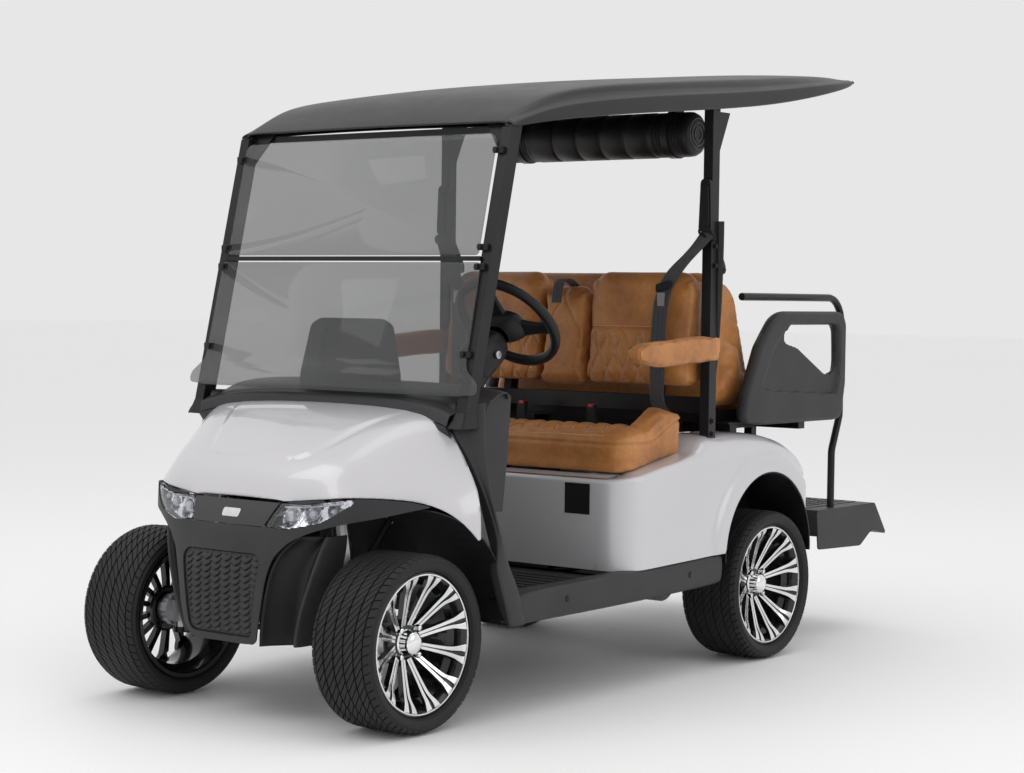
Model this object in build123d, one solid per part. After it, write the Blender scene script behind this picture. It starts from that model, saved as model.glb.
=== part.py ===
from build123d import *
import math
import os

# Golf cart with a rear-facing second seat.
# Units are millimetres. X points to the cart's left, Y to its rear, Z up.
# Everything is laid out from the front axle (y = 0) and the ground (z = 0); places behind the
# cab are measured from the rear axle. The finished nodes are moved so that the origin lies
# under the middle of the overall box.

# ---------------------------------------------------------------- driving sizes
WHEELBASE = 1670.0
FRONT_OVERHANG = 235.0
REAR_OVERHANG = 889.0
BODY_HALF = 590.0
FRONT_TRACK_HALF = 445.0
REAR_TRACK_HALF = 490.0
TYRE_R = 239.0
TYRE_W = 205.0
AXLE_Z = TYRE_R
REAR = WHEELBASE

SKIN = 4.0           # moulded body panels
SEAM = 0.2           # gap between neighbouring panels
REST = 0.3           # gap under a loose soft part
RUN = 0.05           # radial clearance of a shaft that turns
CUT = 2000.0         # longer than anything that is cut

# Places along the cart.
BODY_FRONT_Y = REAR - 820.0
BODY_REAR_Y = REAR + 245.0
ROOF_FRONT_Y = 366.0
ROOF_REAR_Y = REAR + 620.0
STRUT_Y = REAR - 311.0
DECK_REAR_Y = REAR + 545.0
NOSE_Y = -FRONT_OVERHANG
TAIL_Y = REAR + REAR_OVERHANG

# Heights.
FLOOR_Z = 335.0
SILL_LOW_Z = 254.0
LIP_Z = 600.0        # where the hood meets the bumper
BENCH_FRONT_Z = 621.0
BENCH_REAR_Z = 688.0
DECK_Z = 765.0
FOOTREST_Z = 447.0
FLOOR_WALL = 6.0
RAIL_TOP_Z = FLOOR_Z - FLOOR_WALL
RAIL_REAR_Z = 440.0

# The main frame rails.
RAIL_X, RAIL_HALF = 300.0, 25.0
RAIL_REAR_Y = REAR + 385.0

SIDE_VIEW = Plane(origin=(0, 0, 0), x_dir=(0, 1, 0), z_dir=(1, 0, 0))
FRONT_VIEW = Plane(origin=(0, 0, 0), x_dir=(1, 0, 0), z_dir=(0, -1, 0))
nodes = {}


# ---------------------------------------------------------------- helpers
def outline(points, inset=0.0):
    """A closed face through (a, b) points; a third number is that corner's radius."""
    radii = [p[2] if len(p) > 2 else 0.0 for p in points]
    face = make_face(FilletPolyline(*[p[:2] for p in points], radius=radii, close=True))
    if inset:
        face = offset(face, amount=-inset, kind=Kind.INTERSECTION)
    return face


def side_slab(points, x_from, x_to, inset=0.0):
    """Extrudes a (y, z) outline across the cart."""
    return extrude(SIDE_VIEW.offset(x_from) * outline(points, inset), x_to - x_from, dir=(1, 0, 0))


def front_slab(points, y_from, y_to, inset=0.0):
    """Extrudes an (x, z) outline along the cart."""
    return extrude(FRONT_VIEW.offset(-y_from) * outline(points, inset), y_to - y_from, dir=(0, 1, 0))


def plan_slab(points, z_from, z_to, inset=0.0):
    """Extrudes an (x, y) outline upwards."""
    return extrude(Pos(0, 0, z_from) * outline(points, inset), z_to - z_from, dir=(0, 0, 1))


def block(x, y, z):
    """A box between three pairs of limits."""
    sizes = [high - low for low, high in (x, y, z)]
    middles = [(high + low) / 2 for low, high in (x, y, z)]
    return Pos(*middles) * Box(*sizes)


def both_sides(shape):
    """The shape and its mirror image across the cart's middle."""
    return shape + mirror(shape, about=Plane.YZ)


def mirrored(points):
    """Completes a right-hand half outline of (x, other, radius) points with its mirror image."""
    left = [(-p[0],) + tuple(p[1:]) for p in reversed(points) if p[0] != 0]
    return list(points) + left


def round_face(radius):
    """A round section in flat facets, more of them on a larger one."""
    return RegularPolygon(radius, 8 * round(2 + radius / 60))


def rod(start, end, radius):
    """A round bar between two points."""
    start, end = Vector(*start), Vector(*end)
    return extrude(Plane(origin=start, z_dir=end - start) * round_face(radius), (end - start).length)


def pipe(points, radius, bend):
    """A round tube's outer form along straight runs joined by arcs."""
    path = FilletPolyline(*points, radius=bend)
    return sweep(Plane(origin=path @ 0, z_dir=path % 0) * RegularPolygon(radius, 8), path=path)


def across(radius, y, z, x_from, x_to):
    """A round bar that lies across the cart."""
    bar = Plane(origin=(x_from, y, z), x_dir=(0, 0, 1), z_dir=(1, 0, 0)) * round_face(radius)
    return extrude(bar, x_to - x_from, dir=(1, 0, 0))


def upright(radius, x, y, z_from, z_to):
    """A standing round bar."""
    return extrude(Pos(x, y, z_from) * round_face(radius), z_to - z_from, dir=(0, 0, 1))


def bore(radius, x, y, z_from, z_to):
    """A true cylinder, for a standing hole that something turns or stands in."""
    return Pos(x, y, (z_from + z_to) / 2) * Cylinder(radius, z_to - z_from)


def bore_across(radius, y, z, x_from, x_to):
    """A true cylinder, for a hole across the cart."""
    return Pos((x_from + x_to) / 2, y, z) * Rot(0, 90, 0) * Cylinder(radius, x_to - x_from)


def drum(rings, sides):
    """A body of flat facets about the X axis, through (x, radius) rings."""
    turns = [2 * math.pi * k / sides for k in range(sides)]
    loops = [[Vector(x, r * math.sin(a), r * math.cos(a)) for a in turns] for x, r in rings]
    faces = [Face(Wire.make_polygon(loops[0])), Face(Wire.make_polygon(loops[-1]))]
    for low, high in zip(loops, loops[1:]):
        for k in range(sides):
            faces.append(Face(Wire.make_polygon([low[k - 1], low[k], high[k], high[k - 1]])))
    return Solid(Shell(faces))


def crowned_face(y, half, base, side_top, shoulder_x, shoulder_z, crown):
    """A cross-section with upright sides, rounded shoulders and a crowned top."""
    side = [(half, base), (half, side_top)]
    for share_x, share_z in ((0.14, 0.36), (0.42, 0.71), (1.0, 1.0)):
        side.append((half + (shoulder_x - half) * share_x, side_top + (shoulder_z - side_top) * share_z))
    for share in (0.72, 0.4, 0.0):
        side.append((shoulder_x * share, crown - (crown - shoulder_z) * share ** 2))
    return FRONT_VIEW.offset(-y) * outline(mirrored(side))


def crowned_loft(stations, inset=0.0, drop=0.0):
    """Joins crowned cross-sections; inset and drop make the matching inner form."""
    faces = []
    for y, half, base, side_top, shoulder_x, shoulder_z, crown in stations:
        face = crowned_face(y, half - inset, base - drop, side_top - inset, shoulder_x - inset,
                            shoulder_z - inset, crown - inset)
        faces.append(face)
    return loft(faces, ruled=True)


def arch(y, z, radius, x_from, x_to):
    """The round cut of a wheel arch on both sides."""
    return both_sides(across(radius, y, z, x_from, x_to))


def save(name, *shapes):
    """Keeps a node's solids for export."""
    nodes[name] = [solid for shape in shapes for solid in shape.solids()]


# ---------------------------------------------------------------- hood and front fenders
# Columns: y, half width, base, top of the side, shoulder x, shoulder z, crown z.
HOOD_STATIONS = (
    (-152, 150, 230, 601, 110, 604, 607),
    (-108, 353, 230, 606, 250, 668, 690),
    (-36, 422, 230, 602, 310, 724, 746),
    (15, 469, 230, 600, 345, 757, 776),
    (60, 512, 230, 604, 378, 782, 802),
    (120, 547, 230, 620, 420, 806, 828),
    (200, 575, 230, 650, 468, 826, 854),
    (330, BODY_HALF, 230, 700, 500, 832, 860),
)
FENDER_PLAN = tuple((station[1], station[0]) for station in HOOD_STATIONS)
FENDER_LOW_Z = 404.0
ARCH_Y, ARCH_Z, ARCH_R = -30.0, 270.0, 330.0
LINER_R = ARCH_R - REST
LINER_WALL = 3.5
LINER_FRONT_Y = 59.0
# The line where the fender ends and the dark trim begins, from the dash down to the sill.
FENDER_END = ((118, 803), (127, 790), (154, 733), (182, 669), (210, 590), (235, 517), (250, 466), (264, 423),
              (280, 380), (296, 300))


def hood():
    outer = crowned_loft(HOOD_STATIONS)
    inner = crowned_loft(HOOD_STATIONS, inset=SKIN, drop=50.0)
    shell = outer - Pos(0, SKIN, 0) * inner
    shell -= arch(ARCH_Y, ARCH_Z, ARCH_R, 200, 700)
    shell -= block((-CUT, CUT), (-400, LINER_FRONT_Y + 1), (0, LIP_Z))
    shell -= block((-470, 470), (-400, 400), (0, LIP_Z))
    shell -= block((-CUT, CUT), (-400, 400), (0, FENDER_LOW_Z))
    behind = list(FENDER_END) + [(296, 200), (500, 200), (500, 803)]
    shell -= side_slab(behind, -700, 700)
    shell -= both_sides(pillar_bar(SEAM))
    windshield_edge = [(0, 193), (300, 180, 200), (500, 143, 60), (560, 100), (700, 60), (700, 500), (0, 500)]
    shell -= plan_slab([p for p in mirrored(windshield_edge)], 803, 900)
    return shell


# ---------------------------------------------------------------- bumper, grille, lamps
BUMPER_WALL = 5.0
NOSE_TOP_Z = LIP_Z - SEAM
BUMPER_REAR_Y = 58.0
NOSE_SIDE = ((BUMPER_REAR_Y, 221), (-205, 221, 20), (NOSE_Y, 300, 60), (NOSE_Y, 400, 60), (-190, 535, 30),
             (-152, NOSE_TOP_Z), (BUMPER_REAR_Y, NOSE_TOP_Z))
NOSE_PLAN = ((0, NOSE_Y - 3), (60, NOSE_Y - 2, 60), (150, -224, 30), (255, -176, 60), (353, -108, 60),
             (422, -36, 60), (469, 15), (510, BUMPER_REAR_Y), (510, 80))
NOSE_FRONT = ((0, 205), (117, 205, 12), (150, 300), (165, 440, 40), (245, 500, 60), (380, 545, 60),
              (512, 590), (512, 612), (0, 612))
LAMP_TOP_Z, LAMP_LOW_Z = 599.0, 540.0
LAMP_IN_X, LAMP_OUT_X = 146.0, 378.0
GRILLE_TOP = (148.0, 462.0)
GRILLE_LOW = (116.0, 242.0)
GRILLE_PITCH_X, GRILLE_PITCH_Z, GRILLE_HOLE_R = 33.0, 27.0, 12.0
GRILLE_THICK = 8.0


def nose(inset):
    side = side_slab(NOSE_SIDE, -CUT, CUT, inset)
    plan = plan_slab(mirrored(NOSE_PLAN), 0, CUT, inset)
    front = front_slab(mirrored(NOSE_FRONT), -CUT, CUT, inset)
    return side & plan & front


def grille_outline(grow=0.0):
    top_x, top_z = GRILLE_TOP
    low_x, low_z = GRILLE_LOW
    return mirrored([(low_x + grow, low_z - grow, 20), (top_x + grow, top_z + grow, 24)])


def lamp_outline(grow=0.0):
    corners = [(LAMP_IN_X, LAMP_LOW_Z - 6), (270, LAMP_LOW_Z + 2), (LAMP_OUT_X, LAMP_TOP_Z - 12),
               (LAMP_OUT_X - 10, LAMP_TOP_Z), (LAMP_IN_X + 28, LAMP_TOP_Z)]
    face = outline(corners, -grow)
    return extrude(FRONT_VIEW.offset(CUT) * face, CUT, dir=(0, 1, 0))


def badge_outline(grow=0.0):
    corners = mirrored([(138, LAMP_LOW_Z - 6), (168, LAMP_TOP_Z)])
    face = outline(corners, -grow)
    return extrude(FRONT_VIEW.offset(CUT) * face, CUT, dir=(0, 1, 0))


def front_end():
    shell = nose(0) - nose(BUMPER_WALL) - plan_slab(mirrored(NOSE_PLAN), LIP_Z - 12, 700, BUMPER_WALL)
    open_back = block((-262, 262), (-60, BUMPER_REAR_Y), (0, 560))
    lamps = both_sides(lamp_outline())
    badge = badge_outline()
    recess = front_slab(grille_outline(), NOSE_Y - 1, NOSE_Y + 60)
    bumper = shell - open_back - both_sides(lamp_outline(SEAM)) - badge_outline(SEAM) - recess
    save("front_bumper", bumper)
    save("headlights", shell & lamps)
    save("badge_panel", shell & badge)
    save("grille", grille())


def grille():
    plate = nose(1) - nose(GRILLE_THICK)
    plate &= front_slab(grille_outline(-SEAM), NOSE_Y - 1, NOSE_Y + 60)
    top_x, top_z = GRILLE_TOP
    low_x, low_z = GRILLE_LOW
    rows = int((top_z - low_z - 2 * GRILLE_HOLE_R) / GRILLE_PITCH_Z)
    holes = []
    for row in range(rows + 1):
        z = low_z + GRILLE_HOLE_R + 8 + row * GRILLE_PITCH_Z
        half = low_x + (top_x - low_x) * (z - low_z) / (top_z - low_z) - GRILLE_HOLE_R - 6
        shift = GRILLE_PITCH_X / 2 * (row % 2)
        count = int(half / GRILLE_PITCH_X) + 1
        for column in range(-count, count + 1):
            x = column * GRILLE_PITCH_X + shift
            if abs(x) <= half:
                spot = FRONT_VIEW.offset(-NOSE_Y) * Pos(x, z) * RegularPolygon(GRILLE_HOLE_R, 6, rotation=30)
                holes.append(extrude(spot, 80, both=True))
    return plate - holes


# ---------------------------------------------------------------- dash, display, floor, sills
DASH_HALF = 482.0
DASH_REAR_Y = 425.0
DASH_WALL = 5.0
PILLAR_X = 505.0
DASH_SIDE = ((120, 800), (192, 856, 40), (285, 900, 60), (400, 905, 12), (DASH_REAR_Y, 880, 12),
             (410, 700), (392, 560), (330, 560), (215, 720), (150, 800))
CUP_R, CUP_DEPTH = 38.0, 65.0
COLUMN_X = 290.0
WHEEL_Y, WHEEL_Z = 648.0, 1083.0
COLUMN_TILT = 43.6
COLUMN_R = 20.0


def column_point(distance):
    """A point on the steering column's axis, measured up from the wheel's centre."""
    tilt = math.radians(COLUMN_TILT)
    return (COLUMN_X, WHEEL_Y + distance * math.sin(tilt), WHEEL_Z + distance * math.cos(tilt))


COLUMN_FOOT = column_point(-470)
GEAR_POINT = (160.0, 162.0, 390.0)


def column_sleeve(clear):
    return rod(column_point(-60), COLUMN_FOOT, COLUMN_R + clear) + rod(COLUMN_FOOT, GEAR_POINT, 10 + clear)


# Columns: the two sides of an open bin.
DASH_BINS = ((-440, -170), (60, 190))


def dash_form(inset=0.0):
    hood_edge = [(0, 194), (300, 181, 200), (500, 144, 60), (528, 130), (528, 168), (DASH_HALF, 168),
                 (DASH_HALF, 600), (0, 600)]
    return side_slab(DASH_SIDE, -CUT, CUT, inset) & plan_slab(mirrored(hood_edge), 0, CUT, inset)


def dashboard():
    outer = dash_form()
    shell = outer - dash_form(DASH_WALL) - block((-DASH_HALF + 10, DASH_HALF - 10), (150, 400), (500, 700))
    for x_low, x_high in DASH_BINS:
        shell += outer & block((x_low - 5, x_high + 5), (300, 440), (745, 855))
    for x_low, x_high in DASH_BINS:
        shell -= block((x_low, x_high), (305, 500), (750, 850))
    shelf = plan_slab(mirrored([(0, DASH_REAR_Y - 12), (120, DASH_REAR_Y - 12), (105, 515, 30), (0, 515)]),
                      640, 725)
    shelf = shelf - outer
    for x in (-52, 52):
        shelf -= bore(CUP_R, x, 462, 725 - CUP_DEPTH, 740)
    return (shell + shelf) - column_sleeve(3) - nodes["front_struts"] - nodes["side_sills"]


def display():
    front = [(150, 850), (158, 930), (136, 1072, 26), (100, 1090, 30)]
    body = front_slab(mirrored(front), 150, 400)
    body &= side_slab([(236, 850), (330, 850), (330, 906), (318, 1090), (270, 1090)], -300, 300)
    recess = front_slab(mirrored([(96, 940, 10), (88, 1060, 16)]), 150, 282)
    return body - recess - dash_form()


MAT_RIBS = 9


def floor():
    pan = side_slab([(180, 610), (325, FLOOR_Z - FLOOR_WALL), (BODY_FRONT_Y - SEAM, FLOOR_Z - FLOOR_WALL),
                     (BODY_FRONT_Y - SEAM, FLOOR_Z), (329, FLOOR_Z), (187, 612)], -518, 518)
    step = (BODY_FRONT_Y - 420) / MAT_RIBS
    ribs = [block((-470, 470), (360 + i * step, 360 + i * step + step / 2), (FLOOR_Z, FLOOR_Z + 4))
            for i in range(MAT_RIBS)]
    pan = (pan + ribs) - column_sleeve(3)
    return pan


SILL_REAR_Y = REAR - 305.0
SILL_IN_X = BODY_HALF - 68.0


def sills():
    low = [(300, SILL_LOW_Z), (SILL_REAR_Y, SILL_LOW_Z + 15, 6), (SILL_REAR_Y, 367), (BODY_FRONT_Y, 352),
           (345, 328), (320, 300)]
    sill = side_slab(low, SILL_IN_X, BODY_HALF)
    ahead = [(y + SEAM, z) for y, z in FENDER_END]
    behind = [(345, 328), (324, 470), (286, 590), (246, 675), (208, 750), (172, 815)]
    foot = [(300, SILL_LOW_Z), (345, SILL_LOW_Z)]
    strip = side_slab([(172, 815), (122, 803)] + ahead[1:] + foot + behind[:-1], BODY_HALF - 110, BODY_HALF + 30)
    # Columns: distance in from the body's side, height.
    outer = ((0, 250), (0, 560), (12, 680), (38, 790), (44, 830))
    inner = ((64, 830), (58, 790), (32, 680), (20, 560), (20, 250))
    outer_x = [(BODY_HALF - depth, z) for depth, z in outer + inner]
    riser = strip & front_slab(outer_x, 0, 500)
    return both_sides(sill + riser)


# ---------------------------------------------------------------- rear body
REAR_ARCH_Y, REAR_ARCH_Z, REAR_ARCH_R = REAR - 30.0, 348.0, 258.0
BODY_SIDE = ((BODY_FRONT_Y, 352.5), (SILL_REAR_Y, 367.5), (BODY_REAR_Y, 340), (BODY_REAR_Y, 430, 60),
             (BODY_REAR_Y - 45, 600, 80), (REAR + 150, 690, 60), (REAR + 15, 716, 100), (REAR - 385, 734, 20),
             (REAR - 430, BENCH_REAR_Z, 10), (BODY_FRONT_Y, BENCH_FRONT_Z, 12))
REAR_HALF = BODY_HALF - 5.0
LEDGE = 25.0         # how far the side rolls in below the seats
FLARE = 5.0
FLARE_WIDTH = 26.0
PORT_X, PORT_Z, PORT_SIZE = REAR_HALF - 181.0, 561.0, 92.0
BATTERY_HALF = 400.0


def rear_form(inset=0.0):
    """The rear body as one closed form."""
    plan = [(0, BODY_FRONT_Y), (REAR_HALF, BODY_FRONT_Y, 105), (REAR_HALF, BODY_REAR_Y, 70), (0, BODY_REAR_Y)]
    front = [(0, 300), (REAR_HALF, 300), (REAR_HALF, 640, 30), (REAR_HALF - LEDGE, 738, 70), (0, 745)]
    return (side_slab(BODY_SIDE, -CUT, CUT, inset) & plan_slab(mirrored(plan), 0, CUT, inset)
            & front_slab(mirrored(front), 0, 2 * CUT, inset))


def rear_body():
    shell = rear_form() - rear_form(SKIN)
    open_half = REAR_HALF - LEDGE
    shell -= block((-open_half, open_half), (BODY_FRONT_Y + 30, BODY_REAR_Y - 30), (300, 380))
    shell -= arch(REAR_ARCH_Y, REAR_ARCH_Z, REAR_ARCH_R, 300, 700)
    ring = arch(REAR_ARCH_Y, REAR_ARCH_Z, REAR_ARCH_R + FLARE_WIDTH, open_half, REAR_HALF + FLARE)
    ring -= arch(REAR_ARCH_Y, REAR_ARCH_Z, REAR_ARCH_R, 500, 700)
    ring -= block((-700, 700), (0, 4000), (0, 368))
    ring -= rear_form(SKIN)
    shell += ring
    hatch = block((-BATTERY_HALF, BATTERY_HALF), (BODY_FRONT_Y + 60, REAR - 470), (560, 760))
    half = PORT_SIZE / 2
    port = block((PORT_X - half, PORT_X + half), (BODY_FRONT_Y - 20, BODY_FRONT_Y + 20),
                 (PORT_Z - half, PORT_Z + half))
    room = RAIL_HALF + 4
    notch = both_sides(block((RAIL_X - room, RAIL_X + room), (BODY_REAR_Y - 60, BODY_REAR_Y + 10),
                             (300, RAIL_REAR_Z + 4)))
    return shell - hatch - port - notch


def charge_port():
    half = PORT_SIZE / 2 - SEAM
    door = block((PORT_X - half, PORT_X + half), (BODY_FRONT_Y - 2, BODY_FRONT_Y + 2),
                 (PORT_Z - half, PORT_Z + half))
    socket = rod((PORT_X, BODY_FRONT_Y + 2, PORT_Z), (PORT_X, BODY_FRONT_Y + 50, PORT_Z), 28)
    return door + socket


def liners():
    front = across(LINER_R, ARCH_Y, ARCH_Z, 300, BODY_HALF)
    front -= across(LINER_R - LINER_WALL, ARCH_Y, ARCH_Z, 200, 700)
    front -= block((0, 700), (-500, LINER_FRONT_Y), (-200, 1000))
    front -= block((0, 700), (LINER_FRONT_Y, 500), (-200, 262))
    front &= plan_slab(mirrored(((0, -152),) + FENDER_PLAN + ((0, 330),)), 0, 1000, SKIN + SEAM)
    front -= side_slab(list(FENDER_END) + [(296, 200), (500, 200), (500, 803)], SILL_IN_X - REST, CUT)
    rear = across(REAR_ARCH_R - REST, REAR_ARCH_Y, REAR_ARCH_Z, 372, REAR_HALF - 1)
    rear -= across(REAR_ARCH_R - REST - LINER_WALL, REAR_ARCH_Y, REAR_ARCH_Z, 372 + LINER_WALL, 700)
    rear -= block((0, 700), (0, 4000), (0, 380))
    flap = block((420, 545), (BODY_REAR_Y - SKIN - 8, BODY_REAR_Y - SKIN - 4), (302, 340 - REST))
    return both_sides(front), both_sides(rear), both_sides(flap)


# ---------------------------------------------------------------- roof, struts, windshield
# Columns: y, half width, base, top of the side, shoulder x, shoulder z, crown z.
ROOF_STATIONS = (
    (ROOF_FRONT_Y, 524, 1624, 1632, 500, 1635, 1638),
    (600, 552, 1663, 1702, 512, 1738, 1754),
    (960, 568, 1706, 1750, 520, 1784, 1812),
    (REAR - 65, 574, 1768, 1812, 520, 1846, 1878),
    (REAR + 380, 566, 1850, 1876, 500, 1900, 1928),
    (ROOF_REAR_Y, 500, 1906, 1912, 430, 1920, 1936),
)
ROOF_WALL = 6.0
PILLAR_FOOT = (PILLAR_X, 147.0, 620.0)
PILLAR_TOP = (PILLAR_X, 393.0, 1660.0)
PILLAR_WIDE, PILLAR_DEEP = 34.0, 46.0
STRUT_X = 530.0
STRUT_WIDE, STRUT_DEEP = 34.0, 40.0
CROSSBAR = 30.0
GLASS = 5.0
GLASS_AHEAD = PILLAR_DEEP / 2 + REST


def roof_hollow():
    """The space under the roof's skin, carried a little below its rim."""
    ends = {ROOF_FRONT_Y: ROOF_WALL, ROOF_REAR_Y: -ROOF_WALL}
    inner = [(y + ends.get(y, 0), *rest) for y, *rest in ROOF_STATIONS]
    return crowned_loft(inner, inset=ROOF_WALL, drop=40.0)


def under_roof(shape, rim_z):
    """What of a shape is below the rim or inside the roof's hollow."""
    return shape & (block((-700, 700), (0, 3000), (0, rim_z)) + roof_hollow())


def pillar_y(z):
    """The front strut's centre line at a height."""
    share = (z - PILLAR_FOOT[2]) / (PILLAR_TOP[2] - PILLAR_FOOT[2])
    return PILLAR_FOOT[1] + share * (PILLAR_TOP[1] - PILLAR_FOOT[1])


def pillar_bar(room=0.0):
    foot, top = PILLAR_FOOT, PILLAR_TOP
    deep, wide = PILLAR_DEEP / 2 + room, PILLAR_WIDE / 2 + room
    return side_slab([(foot[1] - deep, foot[2]), (foot[1] + deep, foot[2]), (top[1] + deep, top[2]),
                      (top[1] - deep, top[2])], PILLAR_X - wide, PILLAR_X + wide)


def front_struts():
    bar = pillar_bar()
    gusset = front_slab([(400, 1650), (PILLAR_X, 1650), (PILLAR_X, 1500), (482, 1540)], 300, 500)
    gusset &= side_slab([(pillar_y(1480) + 4, 1480), (pillar_y(1650) + 4, 1650), (pillar_y(1650) + 12, 1650),
                         (pillar_y(1480) + 12, 1480)], 0, 600)
    tie = block((-PILLAR_X, PILLAR_X), (PILLAR_TOP[1] + 4, PILLAR_TOP[1] + 34), (1612, 1630))
    return under_roof(both_sides(bar + gusset) + tie, ROOF_STATIONS[0][2])


def rear_struts():
    bar = block((STRUT_X - STRUT_WIDE / 2, STRUT_X + STRUT_WIDE / 2),
                (STRUT_Y - STRUT_DEEP / 2, STRUT_Y + STRUT_DEEP / 2), (700, 1860))
    gusset = side_slab([(STRUT_Y, 1560), (STRUT_Y + 34, 1620), (STRUT_Y + 90, 1740), (STRUT_Y, 1740)],
                       STRUT_X - 8, STRUT_X + 8)
    tie = block((-STRUT_X, STRUT_X), (STRUT_Y - CROSSBAR / 2, STRUT_Y + CROSSBAR / 2), (1752, 1752 + CROSSBAR))
    return under_roof(both_sides(bar + gusset) + tie, 1740) - rear_form()


def glass_y(z):
    return pillar_y(z) - GLASS_AHEAD


def windshield():
    panes = []
    for low, high, half_low, half_high in ((884, 1255, 560, 500), (1268, 1606, 484, 484)):
        slab = side_slab([(glass_y(low), low), (glass_y(high), high), (glass_y(high) - GLASS, high),
                          (glass_y(low) - GLASS, low)], -600, 600)
        if half_low != half_high:
            edge = [(half_low - 40, low), (half_low, low + 20), (half_low, 925, 20), (half_high, 960, 20),
                    (half_high, high)]
        else:
            edge = [(half_low, low), (half_high, high)]
        panes.append(slab & front_slab(mirrored(edge), 0, 600))
    low, high = 1255, 1268
    bar = side_slab([(glass_y(low) + 2, low), (glass_y(high) + 2, high), (glass_y(high) - GLASS - 3, high),
                     (glass_y(low) - GLASS - 3, low)], -486, 486)
    return panes, bar


def windshield_clips_pair():
    clips = Part()
    for z in (930, 1215, 1310, 1500):
        low, high = z - 18, z + 18
        front_low, front_high = glass_y(low) - GLASS, glass_y(high) - GLASS
        clips += side_slab([(front_low - 5, low), (front_low, low), (front_high, high), (front_high - 5, high)],
                           462, 524)
    return both_sides(clips)


# ---------------------------------------------------------------- seats
SEAT_HALF = 540.0
CUSHION_FRONT_Y = REAR - 772.0
CUSHION_REAR_Y = REAR - 436.0
BACK_HALF = 505.0
SEAT_HINGE_Y, SEAT_HINGE_Z = REAR - 418.0, 715.0
SEAT_HINGE_X = 300.0
BARREL_R, PIN_R = 8.0, 4.0
SEAT_BAR_Y = REAR - 286.0


def bench_z(y):
    """The height of the body's bench under the front seat."""
    share = (y - BODY_FRONT_Y) / (REAR - 430 - BODY_FRONT_Y)
    return BENCH_FRONT_Z + share * (BENCH_REAR_Z - BENCH_FRONT_Z)


def seat_cushion():
    low_front = bench_z(CUSHION_FRONT_Y) + REST
    low_rear = bench_z(CUSHION_REAR_Y) + REST
    base = [(CUSHION_FRONT_Y, low_front, 16), (CUSHION_REAR_Y, low_rear, 10), (CUSHION_REAR_Y, 752, 24),
            (CUSHION_FRONT_Y + 110, 756, 60), (CUSHION_FRONT_Y, 735, 40)]
    pad = side_slab(base, -SEAT_HALF, SEAT_HALF)
    wing = [(CUSHION_FRONT_Y + 130, 740), (CUSHION_REAR_Y, low_rear + 20, 6), (CUSHION_REAR_Y, 815, 30),
            (CUSHION_REAR_Y - 90, 815, 40), (CUSHION_REAR_Y - 180, 762, 40)]
    wings = both_sides(side_slab(wing, 452, SEAT_HALF))
    plan = [(0, CUSHION_FRONT_Y), (SEAT_HALF, CUSHION_FRONT_Y, 70), (SEAT_HALF, CUSHION_REAR_Y, 30),
            (0, CUSHION_REAR_Y)]
    return (pad + wings) & plan_slab(mirrored(plan), 500, 900)


def seat_back():
    side = [(REAR - 378, 868, 24), (REAR - 288, 872, 24), (REAR - 262, 1255, 30), (REAR - 340, 1258, 36)]
    pads = []
    for x_low, x_high in ((-BACK_HALF, -87 - REST), (87 + REST, BACK_HALF)):
        pads.append(side_slab(side, x_low, x_high))
    middle = [(REAR - 384, 868, 24), (REAR - 290, 872, 24), (REAR - 272, 1200, 24), (REAR - 352, 1205, 40)]
    pads.append(side_slab(middle, -87, 87))
    return pads


def armrests():
    side = [(REAR - 725, 968, 16), (REAR - 590, 944, 40), (REAR - 450, 950, 40), (REAR - 290, 964, 20),
            (REAR - 280, 1046, 14), (REAR - 460, 1047, 60), (REAR - 690, 1024, 30), (REAR - 738, 1000, 16)]
    socket = block((STRUT_X - STRUT_WIDE / 2 - REST, STRUT_X + STRUT_WIDE / 2 + REST),
                   (STRUT_Y - STRUT_DEEP / 2 - REST, STRUT_Y + STRUT_DEEP / 2 + REST), (900, 1100))
    return both_sides(side_slab(side, BACK_HALF + REST, 566) - socket)


def hinge(x, y, z, leaf):
    """A barrel with its leaf, and the pin with the two lugs that carry it."""
    barrel = across(BARREL_R, y, z, x - 22, x + 22) + leaf - bore_across(PIN_R + RUN, y, z, x - 60, x + 60)
    pin = across(PIN_R, y, z, x - 34, x + 34)
    for side in (-1, 1):
        inner, outer = sorted((x + side * 26, x + side * 34))
        pin += across(BARREL_R, y, z, inner, outer)
    return barrel, pin


def seat_hinges():
    """The lifting seat's leaves, and the lugs that stand on the body behind it."""
    y, z = SEAT_HINGE_Y, SEAT_HINGE_Z
    leaf = block((SEAT_HINGE_X - 22, SEAT_HINGE_X + 22), (CUSHION_REAR_Y + REST, y),
                 (z + 1, z + BARREL_R))
    leaf += block((SEAT_HINGE_X - 22, SEAT_HINGE_X + 22), (CUSHION_REAR_Y + REST, CUSHION_REAR_Y + 4),
                  (z - 12, z + 20))
    barrel, pin = hinge(SEAT_HINGE_X, y, z, leaf)
    for side in (-1, 1):
        inner, outer = sorted((SEAT_HINGE_X + side * 26, SEAT_HINGE_X + side * 34))
        pin += block((inner, outer), (y - BARREL_R, y + BARREL_R), (z - 30, z))
    return both_sides(barrel), both_sides(pin) - rear_form()


def seat_frame():
    """The steel behind both backs: two uprights and the crossbars that both backs hang on."""
    parts = Part()
    upright_side = [(REAR - 286, 700), (REAR - 240, 700), (REAR - 200, 1180), (REAR - 226, 1180)]
    for x in (-300, 300):
        parts += side_slab(upright_side, x - 15, x + 15)
    parts += block((-STRUT_X + 17, STRUT_X - 17), (SEAT_BAR_Y, SEAT_BAR_Y + 30), (800, 850))
    parts += block((-330, 330), (REAR - 232, REAR_BACK_Y - REST), (1100, 1130))
    return parts - rear_form() - nodes["seat_back"]


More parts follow.
